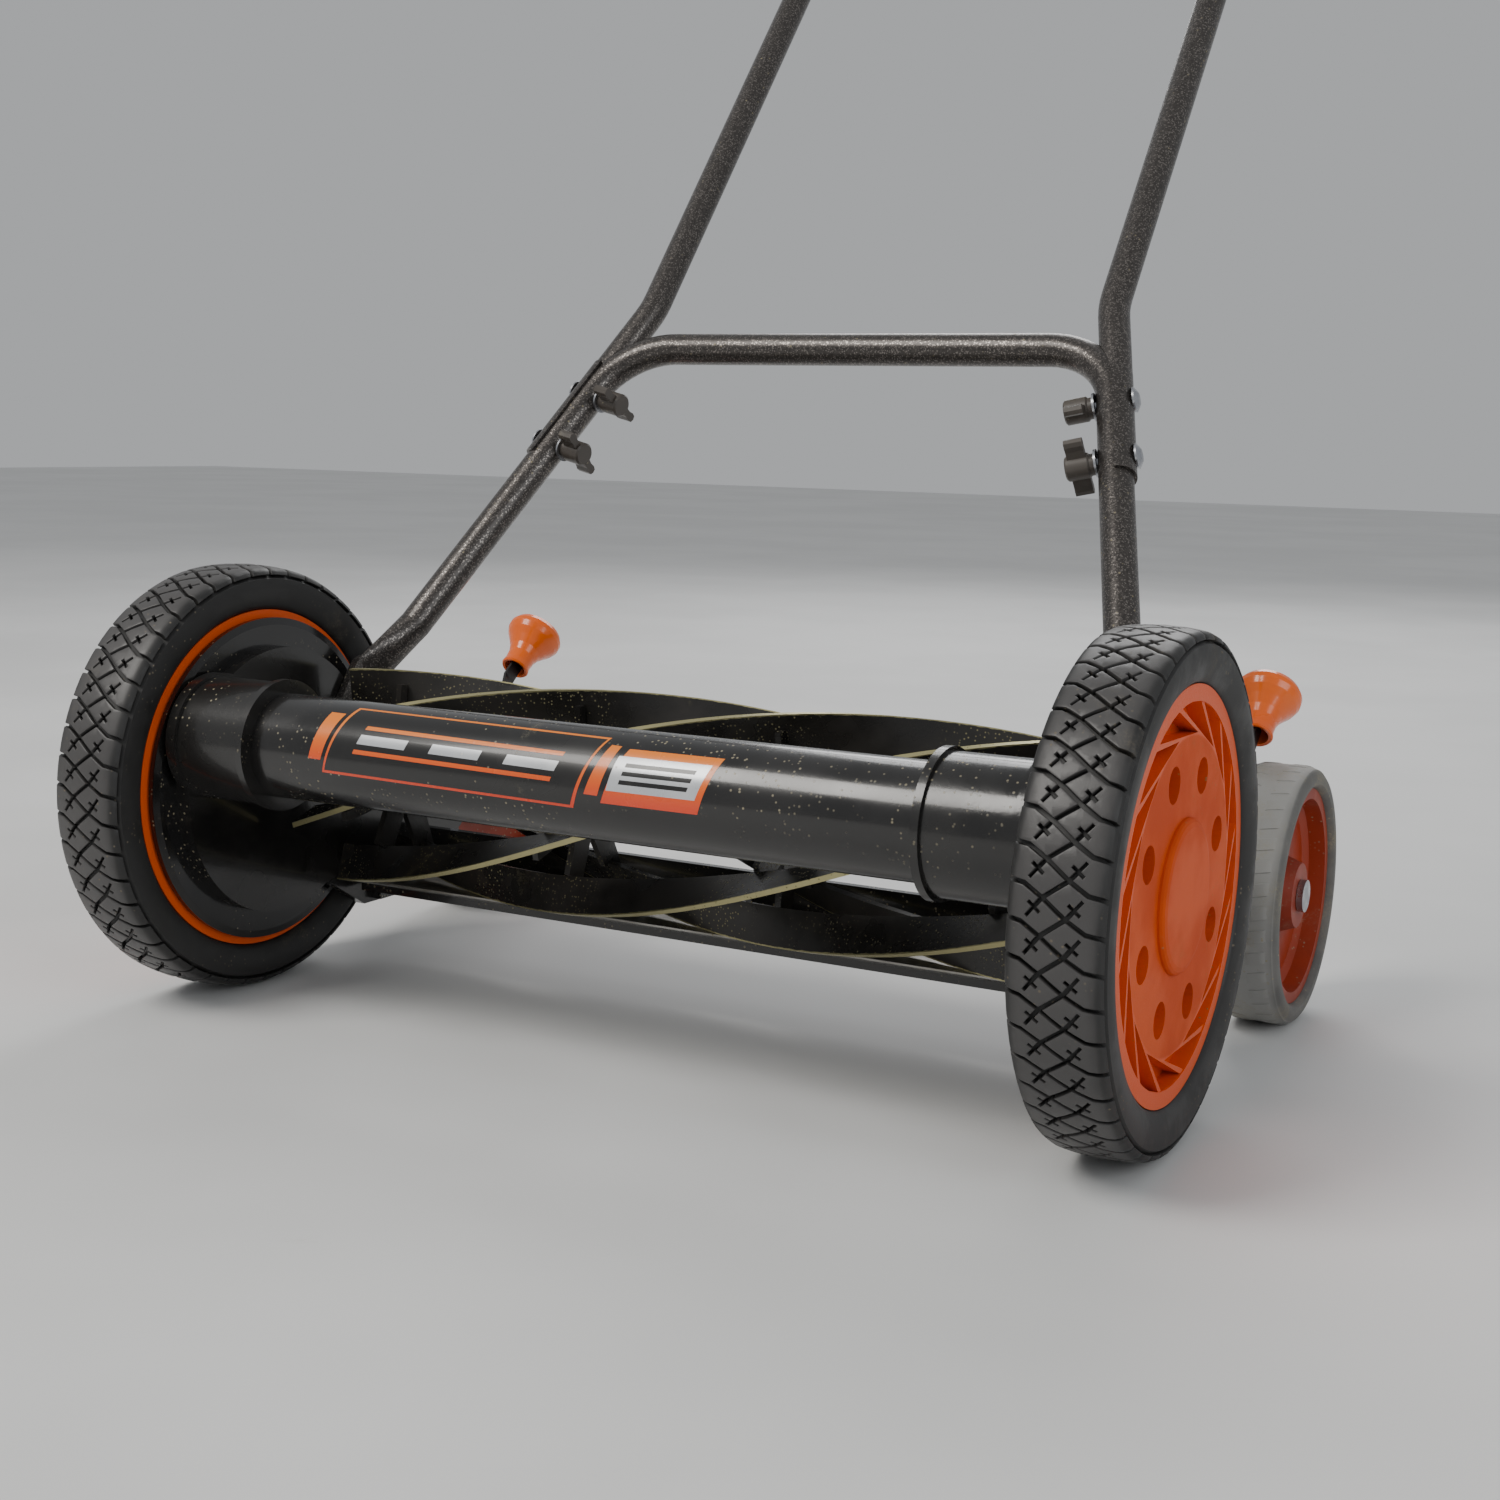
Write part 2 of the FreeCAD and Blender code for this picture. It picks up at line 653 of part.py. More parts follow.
def gear_prism(teeth, root, tip, widen, near, far, back, up, side):
    """Toothed prism along X with one tooth centred on the line between the two gear centres."""
    pitch = GEAR_MODULE * teeth / 2
    base = pitch * math.cos(PRESSURE_ANGLE)
    start = max(root, base)
    flank = [start + (tip - start) * step / 3 for step in range(4)]
    middle = math.pi / (2 * teeth) + widen / pitch + involute(pitch, base)
    points = []
    for tooth in range(teeth):
        centre = MESH_ANGLE + 2 * math.pi * tooth / teeth
        rising = [(radius, centre - middle + involute(radius, base)) for radius in flank]
        falling = [(radius, centre + middle - involute(radius, base)) for radius in reversed(flank)]
        foot = [(root, rising[0][1])] if root < start else []
        heel = [(root, falling[-1][1])] if root < start else []
        for radius, angle in foot + rising + falling + heel:
            points.append(at(back + radius * math.cos(angle), up + radius * math.sin(angle), side * near))
    outline = Part.makePolygon(points + points[:1])
    return Part.Face(outline).extrude(Vector(side * (far - near), 0, 0))


def drive_pinion(label, side):
    """Small gear on the end of the reel shaft."""
    pitch = GEAR_MODULE * size("pinion_teeth") / 2
    near = size("gear_inner") + 0.5
    far = size("gear_outer") - 0.5
    gear = gear_prism(int(size("pinion_teeth")), pitch - GEAR_MODULE, pitch + 0.8 * GEAR_MODULE,
                      -BACKLASH, near, far, size("reel_back"), size("reel_up"), side)
    bore = Part.makeCylinder(size("shaft_radius"), far - near,
                             at(size("reel_back"), size("reel_up"), side * near), Vector(side, 0, 0))
    pinion = doc.addObject("Part::Feature", label)
    pinion.Shape = gear.cut(bore)
    return node(pinion, label)


# ---------------------------------------------------------------- front wheels

HUB_OUTER = "(dims.wheel_centre + dims.hub_half)"
HUB_INNER = "(dims.wheel_centre - dims.hub_half)"


def rib_pocket_outline(sketch):
    """Triangle between two ribs that leave the disc as tangents and end on the rim."""
    step = 360 / size("rib_count")
    reach = math.degrees(math.acos(size("disc_radius") / size("rim_inner_radius")))
    inner = size("disc_radius") / math.cos(math.radians(step / 2))
    corners = [(inner + 1.2, step / 2 + 3.5)]
    corners += [(size("rim_inner_radius"), reach + 1.6 + share * (step - 3.2)) for share in (0, 0.5, 1)]
    add_polygon(sketch, [(str(radius * math.cos(math.radians(angle))),
                          str(radius * math.sin(math.radians(angle)))) for radius, angle in corners])


def wheel_hub(label, side):
    """Moulded hub: rim, web with ribs and holes, centre boss and internal gear."""
    body = new_body(f"{label}_blank")
    bore = "dims.axle_radius + dims.running_gap"
    wall_inner = str(GEAR_MODULE * size("ring_teeth") / 2 - 0.8 * GEAR_MODULE)
    turned(body, f"{label}_section", [(f"{side} * {x}", radius) for x, radius in (
        ("249", bore), ("249", "dims.hub_boss_radius"), ("273", "dims.hub_boss_radius"),
        ("273", wall_inner), ("dims.gear_inner", wall_inner), ("dims.gear_inner", "dims.disc_radius - 1"),
        ("273", "dims.disc_radius - 1"), ("273", "dims.rim_inner_radius"),
        (HUB_INNER, "dims.rim_inner_radius"), (HUB_INNER, "dims.hub_lip_radius"),
        (f"({HUB_INNER} + 2.5)", "dims.hub_lip_radius"),
        (f"({HUB_INNER} + 4.5)", "dims.hub_lip_radius - 2.75"),
        (f"({HUB_OUTER} - 4.5)", "dims.hub_lip_radius - 2.75"),
        (f"({HUB_OUTER} - 2.5)", "dims.hub_lip_radius"),
        (HUB_OUTER, "dims.hub_lip_radius"), (HUB_OUTER, "dims.rim_inner_radius"),
        (f"({HUB_OUTER} - 0.5)", "dims.rim_inner_radius"), (f"({HUB_OUTER} - 0.5)", "dims.cap_radius"),
        (f"({HUB_OUTER} - 3.5)", "dims.cap_radius"), (f"({HUB_OUTER} - 3.5)", bore))])
    pocket = slab(body, f"{label}_pocket", "276", "285", side, rib_pocket_outline, "PartDesign::Pocket")
    around(body, f"{label}_pockets", pocket, pocket.Profile[0], int(size("rib_count")))
    hole = slab(body, f"{label}_hole", "276", "285", side,
                lambda sketch: add_circle(sketch, "dims.lug_hole_circle * cos(22.5)",
                                          "dims.lug_hole_circle * sin(22.5)", "dims.lug_hole_radius"),
                "PartDesign::Pocket")
    around(body, f"{label}_holes", hole, hole.Profile[0], int(size("lug_hole_count")))
    place(body, up="dims.axle_up", rotation=Rotation(Vector(1, 0, 0), size("hub_turn")))
    pitch = GEAR_MODULE * size("ring_teeth") / 2
    teeth = doc.addObject("Part::Feature", f"{label}_tooth_spaces")
    teeth.Shape = gear_prism(int(size("ring_teeth")), pitch - 1.2 * GEAR_MODULE, pitch + GEAR_MODULE,
                             BACKLASH, size("gear_inner") - 1, size("gear_outer"), 0.0, size("axle_up"), side)
    return node(cut(label, body, teeth), label)


def hub_cap(label, side):
    """Round cap over the axle end, with a softened edge."""
    body = new_body(label)
    seat = f"({HUB_OUTER} - 3.5)"
    turned(body, f"{label}_section", [(f"{side} * {x}", radius) for x, radius in (
        (seat, "13"), (seat, "dims.cap_radius"), (f"({HUB_OUTER} + 0.6)", "dims.cap_radius"),
        (f"({HUB_OUTER} + 1.7)", "dims.cap_radius - 0.6"), (f"({HUB_OUTER} + 2.5)", "dims.cap_radius - 1.8"),
        (f"({HUB_OUTER} + 3)", "dims.cap_radius - 4"), (f"({HUB_OUTER} + 3)", "0"),
        (f"({HUB_OUTER} + 1)", "0"), (f"({HUB_OUTER} + 1)", "13"))])
    place(body, up="dims.axle_up")
    return node(body, label)


def front_tyre(label, side):
    """Thick rubber tyre, hollow towards the rim."""
    body = new_body(label)
    rim = "dims.hub_lip_radius"
    crown = "dims.tyre_radius"
    wide = "dims.tyre_half"
    half_section = (
        ("13.5", f"{rim} - 2.75"), ("15.4", f"{rim} + 0.15"), ("18.6", f"{rim} + 0.4"),
        (f"{wide} - 2", f"{rim} + 3"), (f"{wide} - 0.5", f"{rim} + 8"), (wide, f"{rim} + 12.5"),
        (f"{wide} - 0.3", f"{crown} - 8"), (f"{wide} - 0.9", f"{crown} - 4.4"),
        ("dims.tread_half", f"{crown} - 2.1"), ("dims.tread_half - 4", f"{crown} - 1.1"),
        ("dims.tread_half - 10", f"{crown} - 0.4"))
    outline = [(f"{side} * (dims.wheel_centre - ({x}))", radius) for x, radius in half_section]
    outline += [(f"{side} * dims.wheel_centre", crown)]
    outline += [(f"{side} * (dims.wheel_centre + {x})", radius) for x, radius in reversed(half_section)]
    outline += [(f"{side} * (dims.wheel_centre + {x})", radius) for x, radius in (
        ("9", f"{rim} - 2.75"), ("9", f"{crown} - 14"), ("-9", f"{crown} - 14"), ("-9", f"{rim} - 2.75"))]
    turned(body, f"{label}_section", outline)
    place(body, up="dims.axle_up")
    return node(body, label)


for word, side in SIDES:
    drive_pinion(f"drive_pinion_{word}", side)
    wheel_hub(f"wheel_hub_{word}", side)
    hub_cap(f"hub_cap_{word}", side)
    front_tyre(f"front_tyre_{word}", side)


# ---------------------------------------------------------------- height adjusters

def adjuster_bracket(label, side):
    """Arm from the lever pivot to the rear axle."""
    body = new_body(label)
    near = "dims.bracket_inner"
    far = "dims.bracket_outer"
    slab(body, f"{label}_pivot_eye", near, far, side,
         lambda sketch: add_circle(sketch, *LEVER, "14"))
    slab(body, f"{label}_arm", near, far, side, lambda sketch: add_polygon(sketch, [
        ("dims.lever_back + 2", "dims.lever_up + 13"), ("dims.lever_back - 2", "dims.lever_up - 13"),
        ("dims.rear_back - 2", "dims.rear_radius - 12"), ("dims.rear_back + 2", "dims.rear_radius + 12")]))
    slab(body, f"{label}_axle_eye", near, far, side,
         lambda sketch: add_circle(sketch, "dims.rear_back", "dims.rear_radius", "12.5"))
    slab(body, f"{label}_bores", near, far, side, lambda sketch: [
        add_circle(sketch, *LEVER, "dims.lever_pin_radius + dims.running_gap"),
        add_circle(sketch, "dims.rear_back", "dims.rear_radius", "dims.rear_axle_radius")],
        "PartDesign::Pocket")
    place(body)
    return node(body, label)


def adjuster_lever(label, side):
    """Spring-steel strip, cranked outwards towards its knob, with a stud that meets the notches."""
    body = new_body(label)
    sketch = new_sketch(body, f"{label}_side_view", plane="XY_Plane")
    inner = "dims.bracket_outer"
    crank = "(dims.bracket_outer + 4.9)"
    add_polygon(sketch, [(f"{side} * {x}", along) for x, along in (
        (inner, "12"), (inner, "92"), (crank, "106"), (crank, "dims.lever_length + 11"),
        (f"({crank} + 1.6)", "dims.lever_length + 11"), (f"({crank} + 1.6)", "105.4"),
        (f"({inner} + 1.6)", "91.4"), (f"({inner} + 1.6)", "12"))])
    strip = body.newObject("PartDesign::Pad", f"{label}_strip")
    strip.Profile = sketch
    strip.Length = 11.0
    strip.Midplane = True
    body.Tip = strip
    slab(body, f"{label}_stud", "dims.bracket_inner", inner, side,
         lambda sketch: add_circle(sketch, "dims.quadrant_radius - 2.6", "0", "2"))
    place(body, back="dims.lever_back", up="dims.lever_up",
          rotation=Rotation(Vector(1, 0, 0), size("lever_angle")))
    return node(body, label)


def lever_direction():
    angle = math.radians(size("lever_angle"))
    return Vector(0, math.cos(angle), math.sin(angle))


def adjuster_knob(label, side):
    """Trumpet-shaped plastic knob, hollow at the end that holds the lever."""
    body = new_body(label)
    turned(body, f"{label}_section", [
        ("2.4", "7.2"), ("2", "8.8"), ("3", "9.6"), ("7", "9"), ("13", "9.4"), ("18", "11"), ("23", "14"),
        ("27.5", "17.1"), ("31", "18.7"), ("34", "18.8"), ("37", "17.2"), ("39.6", "13"), ("41", "7"),
        ("41.4", "0"), ("13", "0"), ("13", "7.2")])
    along = lever_direction() * size("lever_length")
    place(body, back=f"dims.lever_back + {along.y}", up=f"dims.lever_up + {along.z}",
          across=f"{side} * (dims.bracket_outer + 5.7)",
          rotation=Rotation(Vector(1, 0, 0), lever_direction()))
    return node(body, label)


def rear_axle(label, side):
    """Shoulder bolt: button head outside the wheel, threaded end in the bracket."""
    inward = Vector(-side, 0, 0)
    head_face = size("rear_centre") + 14
    back = size("rear_back")
    up = size("rear_radius")
    head = cylinder(f"{label}_head", 9, 3.5, at(back, up, side * (head_face + 3.5)), inward)
    shank = cylinder(f"{label}_shank", "dims.rear_axle_radius", f"{head_face} - dims.bracket_inner",
                     at(back, up, side * head_face), inward)
    return node(fuse(label, [head, shank]), label)


def lever_pin(word, side):
    """Shoulder bolt the bracket turns on."""
    outward = Vector(side, 0, 0)
    back = size("lever_back")
    up = size("lever_up")
    shank = cylinder(f"lever_pin_shank_{word}", "dims.lever_pin_radius",
                     "dims.bracket_outer + 0.3 - dims.plate_inner",
                     at(back, up, side * size("plate_inner")), outward)
    head = cylinder(f"lever_pin_head_{word}", 8.5, 1.8,
                    at(back, up, side * (size("bracket_outer") + 0.3)), outward)
    return fuse(f"lever_pin_{word}", [shank, head])


def rear_hub(label, side):
    body = new_body(label)
    bore = "dims.rear_axle_radius + dims.running_gap"
    turned(body, f"{label}_section", [(f"{side} * (dims.rear_centre + {x})", radius) for x, radius in (
        ("-18", bore), ("-18", "12"), ("-3", "12"), ("-3", "53"), ("-15", "53"), ("-15", "60"),
        ("-13", "60"), ("-11", "58"), ("11", "58"), ("13", "60"), ("15", "60"), ("15", "54"),
        ("6", "53"), ("3", "49"), ("3", "22"), ("13.7", "18"), ("13.7", bore))])
    place(body, back="dims.rear_back", up="dims.rear_radius")
    return node(body, label)


def rear_tyre(label, side):
    body = new_body(label)
    crown = "dims.rear_radius"
    turned(body, f"{label}_section", [(f"{side} * (dims.rear_centre + {x})", radius) for x, radius in (
        ("-11", "58"), ("-13", "60"), ("-15.5", "60.3"), ("-18.2", "61.5"),
        ("-19", "64.5"), ("-18.6", "68.5"),
        ("-16.8", f"{crown} - 1.7"), ("-13", f"{crown} - 0.4"), ("-8", crown), ("8", crown),
        ("13", f"{crown} - 0.4"), ("16.8", f"{crown} - 1.7"), ("18.6", "68.5"), ("19", "64.5"),
        ("18.2", "61.5"), ("15.5", "60.3"), ("13", "60"), ("11", "58"))])
    place(body, back="dims.rear_back", up="dims.rear_radius")
    return node(body, label)


group("lever_pins", [lever_pin(word, side) for word, side in SIDES])
for word, side in SIDES:
    adjuster_bracket(f"adjuster_bracket_{word}", side)
    adjuster_lever(f"adjuster_lever_{word}", side)
    adjuster_knob(f"adjuster_knob_{word}", side)
    rear_axle(f"rear_axle_{word}", side)
    rear_hub(f"rear_hub_{word}", side)
    rear_tyre(f"rear_tyre_{word}", side)


# ---------------------------------------------------------------- handle

LEAN = math.radians(size("handle_lean"))
SPLAY = math.radians(size("leg_splay"))


def on_handle(across, rise):
    """Point of the handle's plane: rise is measured up its slope from the lower crossbar."""
    return at(size("crossbar_back") + rise * math.cos(LEAN),
              size("crossbar_up") + rise * math.sin(LEAN), across)


def leg_across(rise):
    return size("leg_base") - rise * math.tan(SPLAY)


def leg_down(side):
    """Direction of a leg, downwards and outwards."""
    slope = Vector(0, math.cos(LEAN), math.sin(LEAN))
    return Vector(side * math.sin(SPLAY), 0, 0) - slope * math.cos(SPLAY)


def leg_outward(side):
    """Direction square to a leg within the handle's plane, away from the middle."""
    slope = Vector(0, math.cos(LEAN), math.sin(LEAN))
    return Vector(side * math.cos(SPLAY), 0, 0) + slope * math.sin(SPLAY)


def rounded_path(name, points, radii):
    """Wire of straight runs joined by tangent arcs, one radius for each inner point."""
    edges = []
    start = points[0]
    for before, corner, after, radius in zip(points, points[1:], points[2:], radii):
        arriving = (corner - before).normalize()
        leaving = (after - corner).normalize()
        half_turn = arriving.getAngle(leaving) / 2
        setback = radius * math.tan(half_turn)
        first = corner - arriving * setback
        last = corner + leaving * setback
        bisector = (leaving - arriving).normalize()
        middle = corner + bisector * (radius / math.cos(half_turn) - radius)
        edges.append(Part.LineSegment(start, first).toShape())
        edges.append(Part.Arc(first, middle, last).toShape())
        start = last
    edges.append(Part.LineSegment(start, points[-1]).toShape())
    wire = doc.addObject("Part::Feature", name)
    wire.Shape = Part.Wire(edges)
    return wire


def ring(name, radius, centre, direction):
    circle = doc.addObject("Part::Circle", name)
    circle.setExpression("Radius", radius)
    circle.Placement = Placement(centre, Rotation(Vector(0, 0, 1), direction))
    return circle


def swept_tube(name, radius, path, points):
    """Round bar of a given radius along a path."""
    section = ring(f"{name}_section", radius, points[0], points[1] - points[0])
    sweep = doc.addObject("Part::Sweep", name)
    sweep.Sections = [section]
    sweep.Spine = (path, [f"Edge{index + 1}" for index in range(len(path.Shape.Edges))])
    sweep.Solid = True
    sweep.Frenet = False
    return sweep


def leg_foot(word, side):
    """Tube end pressed flat into an eye for the pivot bolt."""
    knee_back = size("pivot_back") + 18
    knee_up = size("pivot_up") + 26
    top = on_handle(side * leg_across(-size("leg_drop")), -size("leg_drop"))
    middle = side * (size("lug_inner") + size("lug_outer")) / 2
    knee = at(knee_back, knee_up, middle)
    along = Vector(0, knee.y - top.y, knee.z - top.z).normalize()
    round_end = ring(f"foot_round_{word}", "dims.leg_radius", top, leg_down(side))
    flat_end = doc.addObject("Part::Ellipse", f"foot_flat_{word}")
    flat_end.MajorRadius = 13.0
    flat_end.setExpression("MinorRadius", "(dims.lug_outer - dims.lug_inner) / 2")
    square = Vector(0, -along.z, along.y)
    flat_end.Placement = Placement(knee, Rotation(square, Vector(side, 0, 0), along, "ZXY"))
    loft = doc.addObject("Part::Loft", f"foot_loft_{word}")
    loft.Sections = [round_end, flat_end]
    loft.Solid = True
    loft.Ruled = True
    eye = new_body(f"foot_eye_{word}")
    reach = math.hypot(18, 26)
    across_back = 13 * 26 / reach
    across_up = 13 * 18 / reach
    near = "dims.lug_inner"
    far = "dims.lug_outer"
    slab(eye, f"foot_eye_ring_{word}", near, far, side, lambda sketch: add_circle(sketch, *PIVOT, "14"))
    slab(eye, f"foot_knee_{word}", near, far, side,
         lambda sketch: add_circle(sketch, "dims.pivot_back + 18", "dims.pivot_up + 26", "13"))
    slab(eye, f"foot_strap_{word}", near, far, side, lambda sketch: add_polygon(sketch, [
        (f"dims.pivot_back + {across_back}", f"dims.pivot_up - {across_up}"),
        (f"dims.pivot_back + 18 + {across_back}", f"dims.pivot_up + 26 - {across_up}"),
        (f"dims.pivot_back + 18 - {across_back}", f"dims.pivot_up + 26 + {across_up}"),
        (f"dims.pivot_back - {across_back}", f"dims.pivot_up + {across_up}")]))
    slab(eye, f"foot_bore_{word}", near, far, side,
         lambda sketch: add_circle(sketch, *PIVOT, "dims.pivot_radius + dims.running_gap"),
         "PartDesign::Pocket")
    place(eye)
    return [loft, eye]


def bolt_centres(side):
    """Where the two bolts of one side cross the leg's axis."""
    corner = on_handle(side * size("leg_base"), 0)
    return [corner + leg_down(side) * (size("bolt_drop") + step * size("bolt_spacing")) for step in (0, 1)]


def bolt_holes(name):
    """All four bolt holes as one cutting tool."""
    holes = []
    for word, side in SIDES:
        for index, centre in enumerate(bolt_centres(side), start=1):
            holes.append(cylinder(f"{name}_{word}_{index}", "dims.bolt_radius + dims.running_gap", 40,
                                  centre - leg_outward(side) * 20, leg_outward(side)))
    return fuse(name, holes)


LOWER_POINTS = [on_handle(-leg_across(-size("leg_drop")), -size("leg_drop")),
                on_handle(-size("leg_base"), 0), on_handle(size("leg_base"), 0),
                on_handle(leg_across(-size("leg_drop")), -size("leg_drop"))]


def lower_handle():
    """U-shaped tube with a flattened foot on each leg."""
    path = rounded_path("lower_handle_path", LOWER_POINTS, [size("corner_radius")] * 2)
    outer = swept_tube("lower_handle_outer", "dims.leg_radius", path, LOWER_POINTS)
    inner = swept_tube("lower_handle_inner", "dims.leg_radius - dims.leg_wall", path, LOWER_POINTS)
    tube = cut("lower_handle_tube", outer, inner)
    feet = leg_foot("left", -1) + leg_foot("right", 1)
    whole = fuse("lower_handle_whole", [tube] + feet)
    return node(cut("lower_handle", whole, bolt_holes("lower_handle_bolt_holes")), "lower_handle"), path


def half_round(word, side):
    """Half shell at the foot of the upper handle that hugs the outer side of the leg."""
    corner = on_handle(side * size("leg_base"), 0)
    start = corner + leg_down(side) * 94
    upwards = leg_down(side) * -1
    shell = cylinder(f"saddle_outer_{word}", "dims.leg_radius + 1.7", 74, start, upwards)
    inboard = doc.addObject("Part::Box", f"saddle_inboard_{word}")
    inboard.Length = 80.0
    inboard.Width = 40.0
    inboard.Height = 30.0
    turn = Rotation(upwards, upwards.cross(leg_outward(side)), leg_outward(side) * -1, "ZXY")
    inboard.Placement = Placement(start + leg_outward(side) * 1.0 - turn.multVec(Vector(3, 20, 0)), turn)
    return cut(f"saddle_{word}", shell, inboard)


def upper_handle(lower_path):
    """Tall loop whose two ends clasp the legs from outside."""
    shift = 2.2
    low = -30.0
    bend = 32.0
    top = (size("grip_up") - size("crossbar_up")) / math.sin(LEAN)
    right = [on_handle(leg_across(low) + shift, low), on_handle(leg_across(bend) + shift, bend),
             on_handle(size("upper_half"), top)]
    left = [Vector(-point.x, point.y, point.z) for point in reversed(right)]
    points = right + left
    path = rounded_path("upper_handle_path", points, [60.0, 45.0, 45.0, 60.0])
    outer = swept_tube("upper_handle_outer", "dims.upper_radius", path, points)
    inner = swept_tube("upper_handle_inner", "dims.upper_radius - dims.leg_wall", path, points)
    whole = fuse("upper_handle_whole", [outer] + [half_round(word, side) for word, side in SIDES])
    clearance = swept_tube("lower_handle_clearance", "dims.leg_radius + 0.1", lower_path, LOWER_POINTS)
    tools = fuse("upper_handle_tools", [inner, clearance, bolt_holes("upper_handle_bolt_holes")])
    return node(cut("upper_handle", whole, tools), "upper_handle")


def foam_grip():
    """Foam sleeve over the top bar."""
    start = at(size("crossbar_back") + (size("grip_up") - size("crossbar_up")) / math.tan(LEAN),
               size("grip_up"), -size("grip_half"))
    sleeve = cylinder("foam_grip_sleeve", "dims.grip_radius", "2 * dims.grip_half", start, Vector(1, 0, 0))
    bore = cylinder("foam_grip_bore", "dims.upper_radius", "2 * dims.grip_half", start, Vector(1, 0, 0))
    return node(cut("foam_grip", sleeve, bore), "foam_grip")


HEAD_SEAT = size("leg_radius") + 1.7
NUT_SEAT = size("leg_radius") + 0.1
WASHER = 1.2
BOLT_END = 24.0


def carriage_bolt(name, centre, outward):
    shank = cylinder(f"{name}_shank", "dims.bolt_radius", HEAD_SEAT + BOLT_END,
                     centre + outward * HEAD_SEAT, outward * -1)
    flange = cylinder(f"{name}_flange", 7, 1, centre + outward * HEAD_SEAT, outward)
    dome = doc.addObject("Part::Cone", f"{name}_dome")
    dome.Radius1 = 7.0
    dome.Radius2 = 3.5
    dome.Height = 2.2
    dome.Placement = Placement(centre + outward * (HEAD_SEAT + 1), Rotation(Vector(0, 0, 1), outward))
    return fuse(name, [shank, flange, dome])


def knob_washer(name, centre, outward):
    start = centre - outward * NUT_SEAT
    disc = cylinder(f"{name}_disc", 8, WASHER, start, outward * -1)
    bore = cylinder(f"{name}_bore", "dims.bolt_radius", WASHER, start, outward * -1)
    return cut(name, disc, bore)


def wing_knob(label, centre, outward, turn):
    """Plastic nut with a round barrel and two finger wings; its axis is the body's X."""
    body = new_body(label)
    bore = "dims.bolt_radius + dims.running_gap"
    height = "dims.knob_height"
    turned(body, f"{label}_barrel", [
        ("0", bore), ("0", "dims.knob_radius - 1"), ("2.5", "dims.knob_radius - 1"),
        ("3.5", "dims.knob_radius"), (f"{height} - 1", "dims.knob_radius"),
        (height, "dims.knob_radius - 1"), (height, "0"), (f"{height} - 2", "0"), (f"{height} - 2", bore)])
    wing = slab(body, f"{label}_wing", "4", f"{height} - 2", 1, lambda sketch: add_polygon(sketch, [
        ("-2.6", "5"), ("2.6", "5"), ("2.1", "11"), ("2.8", "14"), ("2.2", "16.4"), ("0", "17.2"),
        ("-2.2", "16.4"), ("-2.8", "14"), ("-2.1", "11")]))
    around(body, f"{label}_wings", wing, wing.Profile[0], 2)
    inward = outward * -1
    start = centre + inward * (NUT_SEAT + WASHER + 0.1)
    body.Placement = Placement(start, Rotation(inward, turn).multiply(Rotation(Vector(1, 0, 0), inward)))
    return node(body, label)


_, lower_path = lower_handle()
upper_handle(lower_path)
foam_grip()
group("handle_pivot_bolts", [
    fuse(f"pivot_bolt_{word}", [
        cylinder(f"pivot_bolt_head_{word}", 7.5, 2.6,
                 at(size("pivot_back"), size("pivot_up"), side * (size("lug_inner") - 0.2)), Vector(-side, 0, 0)),
        cylinder(f"pivot_bolt_shank_{word}", "dims.pivot_radius", "dims.housing_outer - dims.lug_inner + 0.2",
                 at(size("pivot_back"), size("pivot_up"), side * (size("lug_inner") - 0.2)), Vector(side, 0, 0))])
    for word, side in SIDES])

BOLT_SPOTS = [(f"{word}_{level}", side, centre) for word, side in SIDES
              for level, centre in zip(("upper", "lower"), bolt_centres(side))]
KNOB_TURNS = {"left_upper": 60, "left_lower": 48, "right_upper": 10, "right_lower": 70}
group("carriage_bolts", [carriage_bolt(f"carriage_bolt_{name}", centre, leg_outward(side))
                         for name, side, centre in BOLT_SPOTS])
group("knob_washers", [knob_washer(f"knob_washer_{name}", centre, leg_outward(side))
                       for name, side, centre in BOLT_SPOTS])
for name, side, centre in BOLT_SPOTS:
    wing_knob(f"wing_knob_{name}", centre, leg_outward(side), KNOB_TURNS[name])


# ---------------------------------------------------------------- checks and files

def write_parts():
    doc.recompute()
    faults = [thing.Label for thing in doc.Objects
              if any(word in thing.State for word in ("Invalid", "Error"))]
    faults += [thing.Label for thing in NODES if thing.Shape.isNull() or not thing.Shape.isValid()]
    if faults:
        raise RuntimeError(f"failed objects: {sorted(set(faults))}")
    os.makedirs("parts", exist_ok=True)
    for thing in NODES:
        shape = thing.Shape
        shape.exportStep(f"parts/{thing.Label}.step")
        box = shape.BoundBox
        print(f"{thing.Label:24s} solids {len(shape.Solids)} volume {shape.Volume / 1000:8.1f} cm3 "
              f"x {box.XMin:7.1f} {box.XMax:7.1f} y {box.YMin:7.1f} {box.YMax:7.1f} z {box.ZMin:7.1f} {box.ZMax:7.1f}")
    whole = Part.makeCompound([thing.Shape for thing in NODES]).BoundBox
    print(f"{len(NODES)} nodes, x {whole.XMin:.2f} {whole.XMax:.2f} y {whole.YMin:.2f} {whole.YMax:.2f} "
          f"z {whole.ZMin:.2f} {whole.ZMax:.2f}")


write_parts()
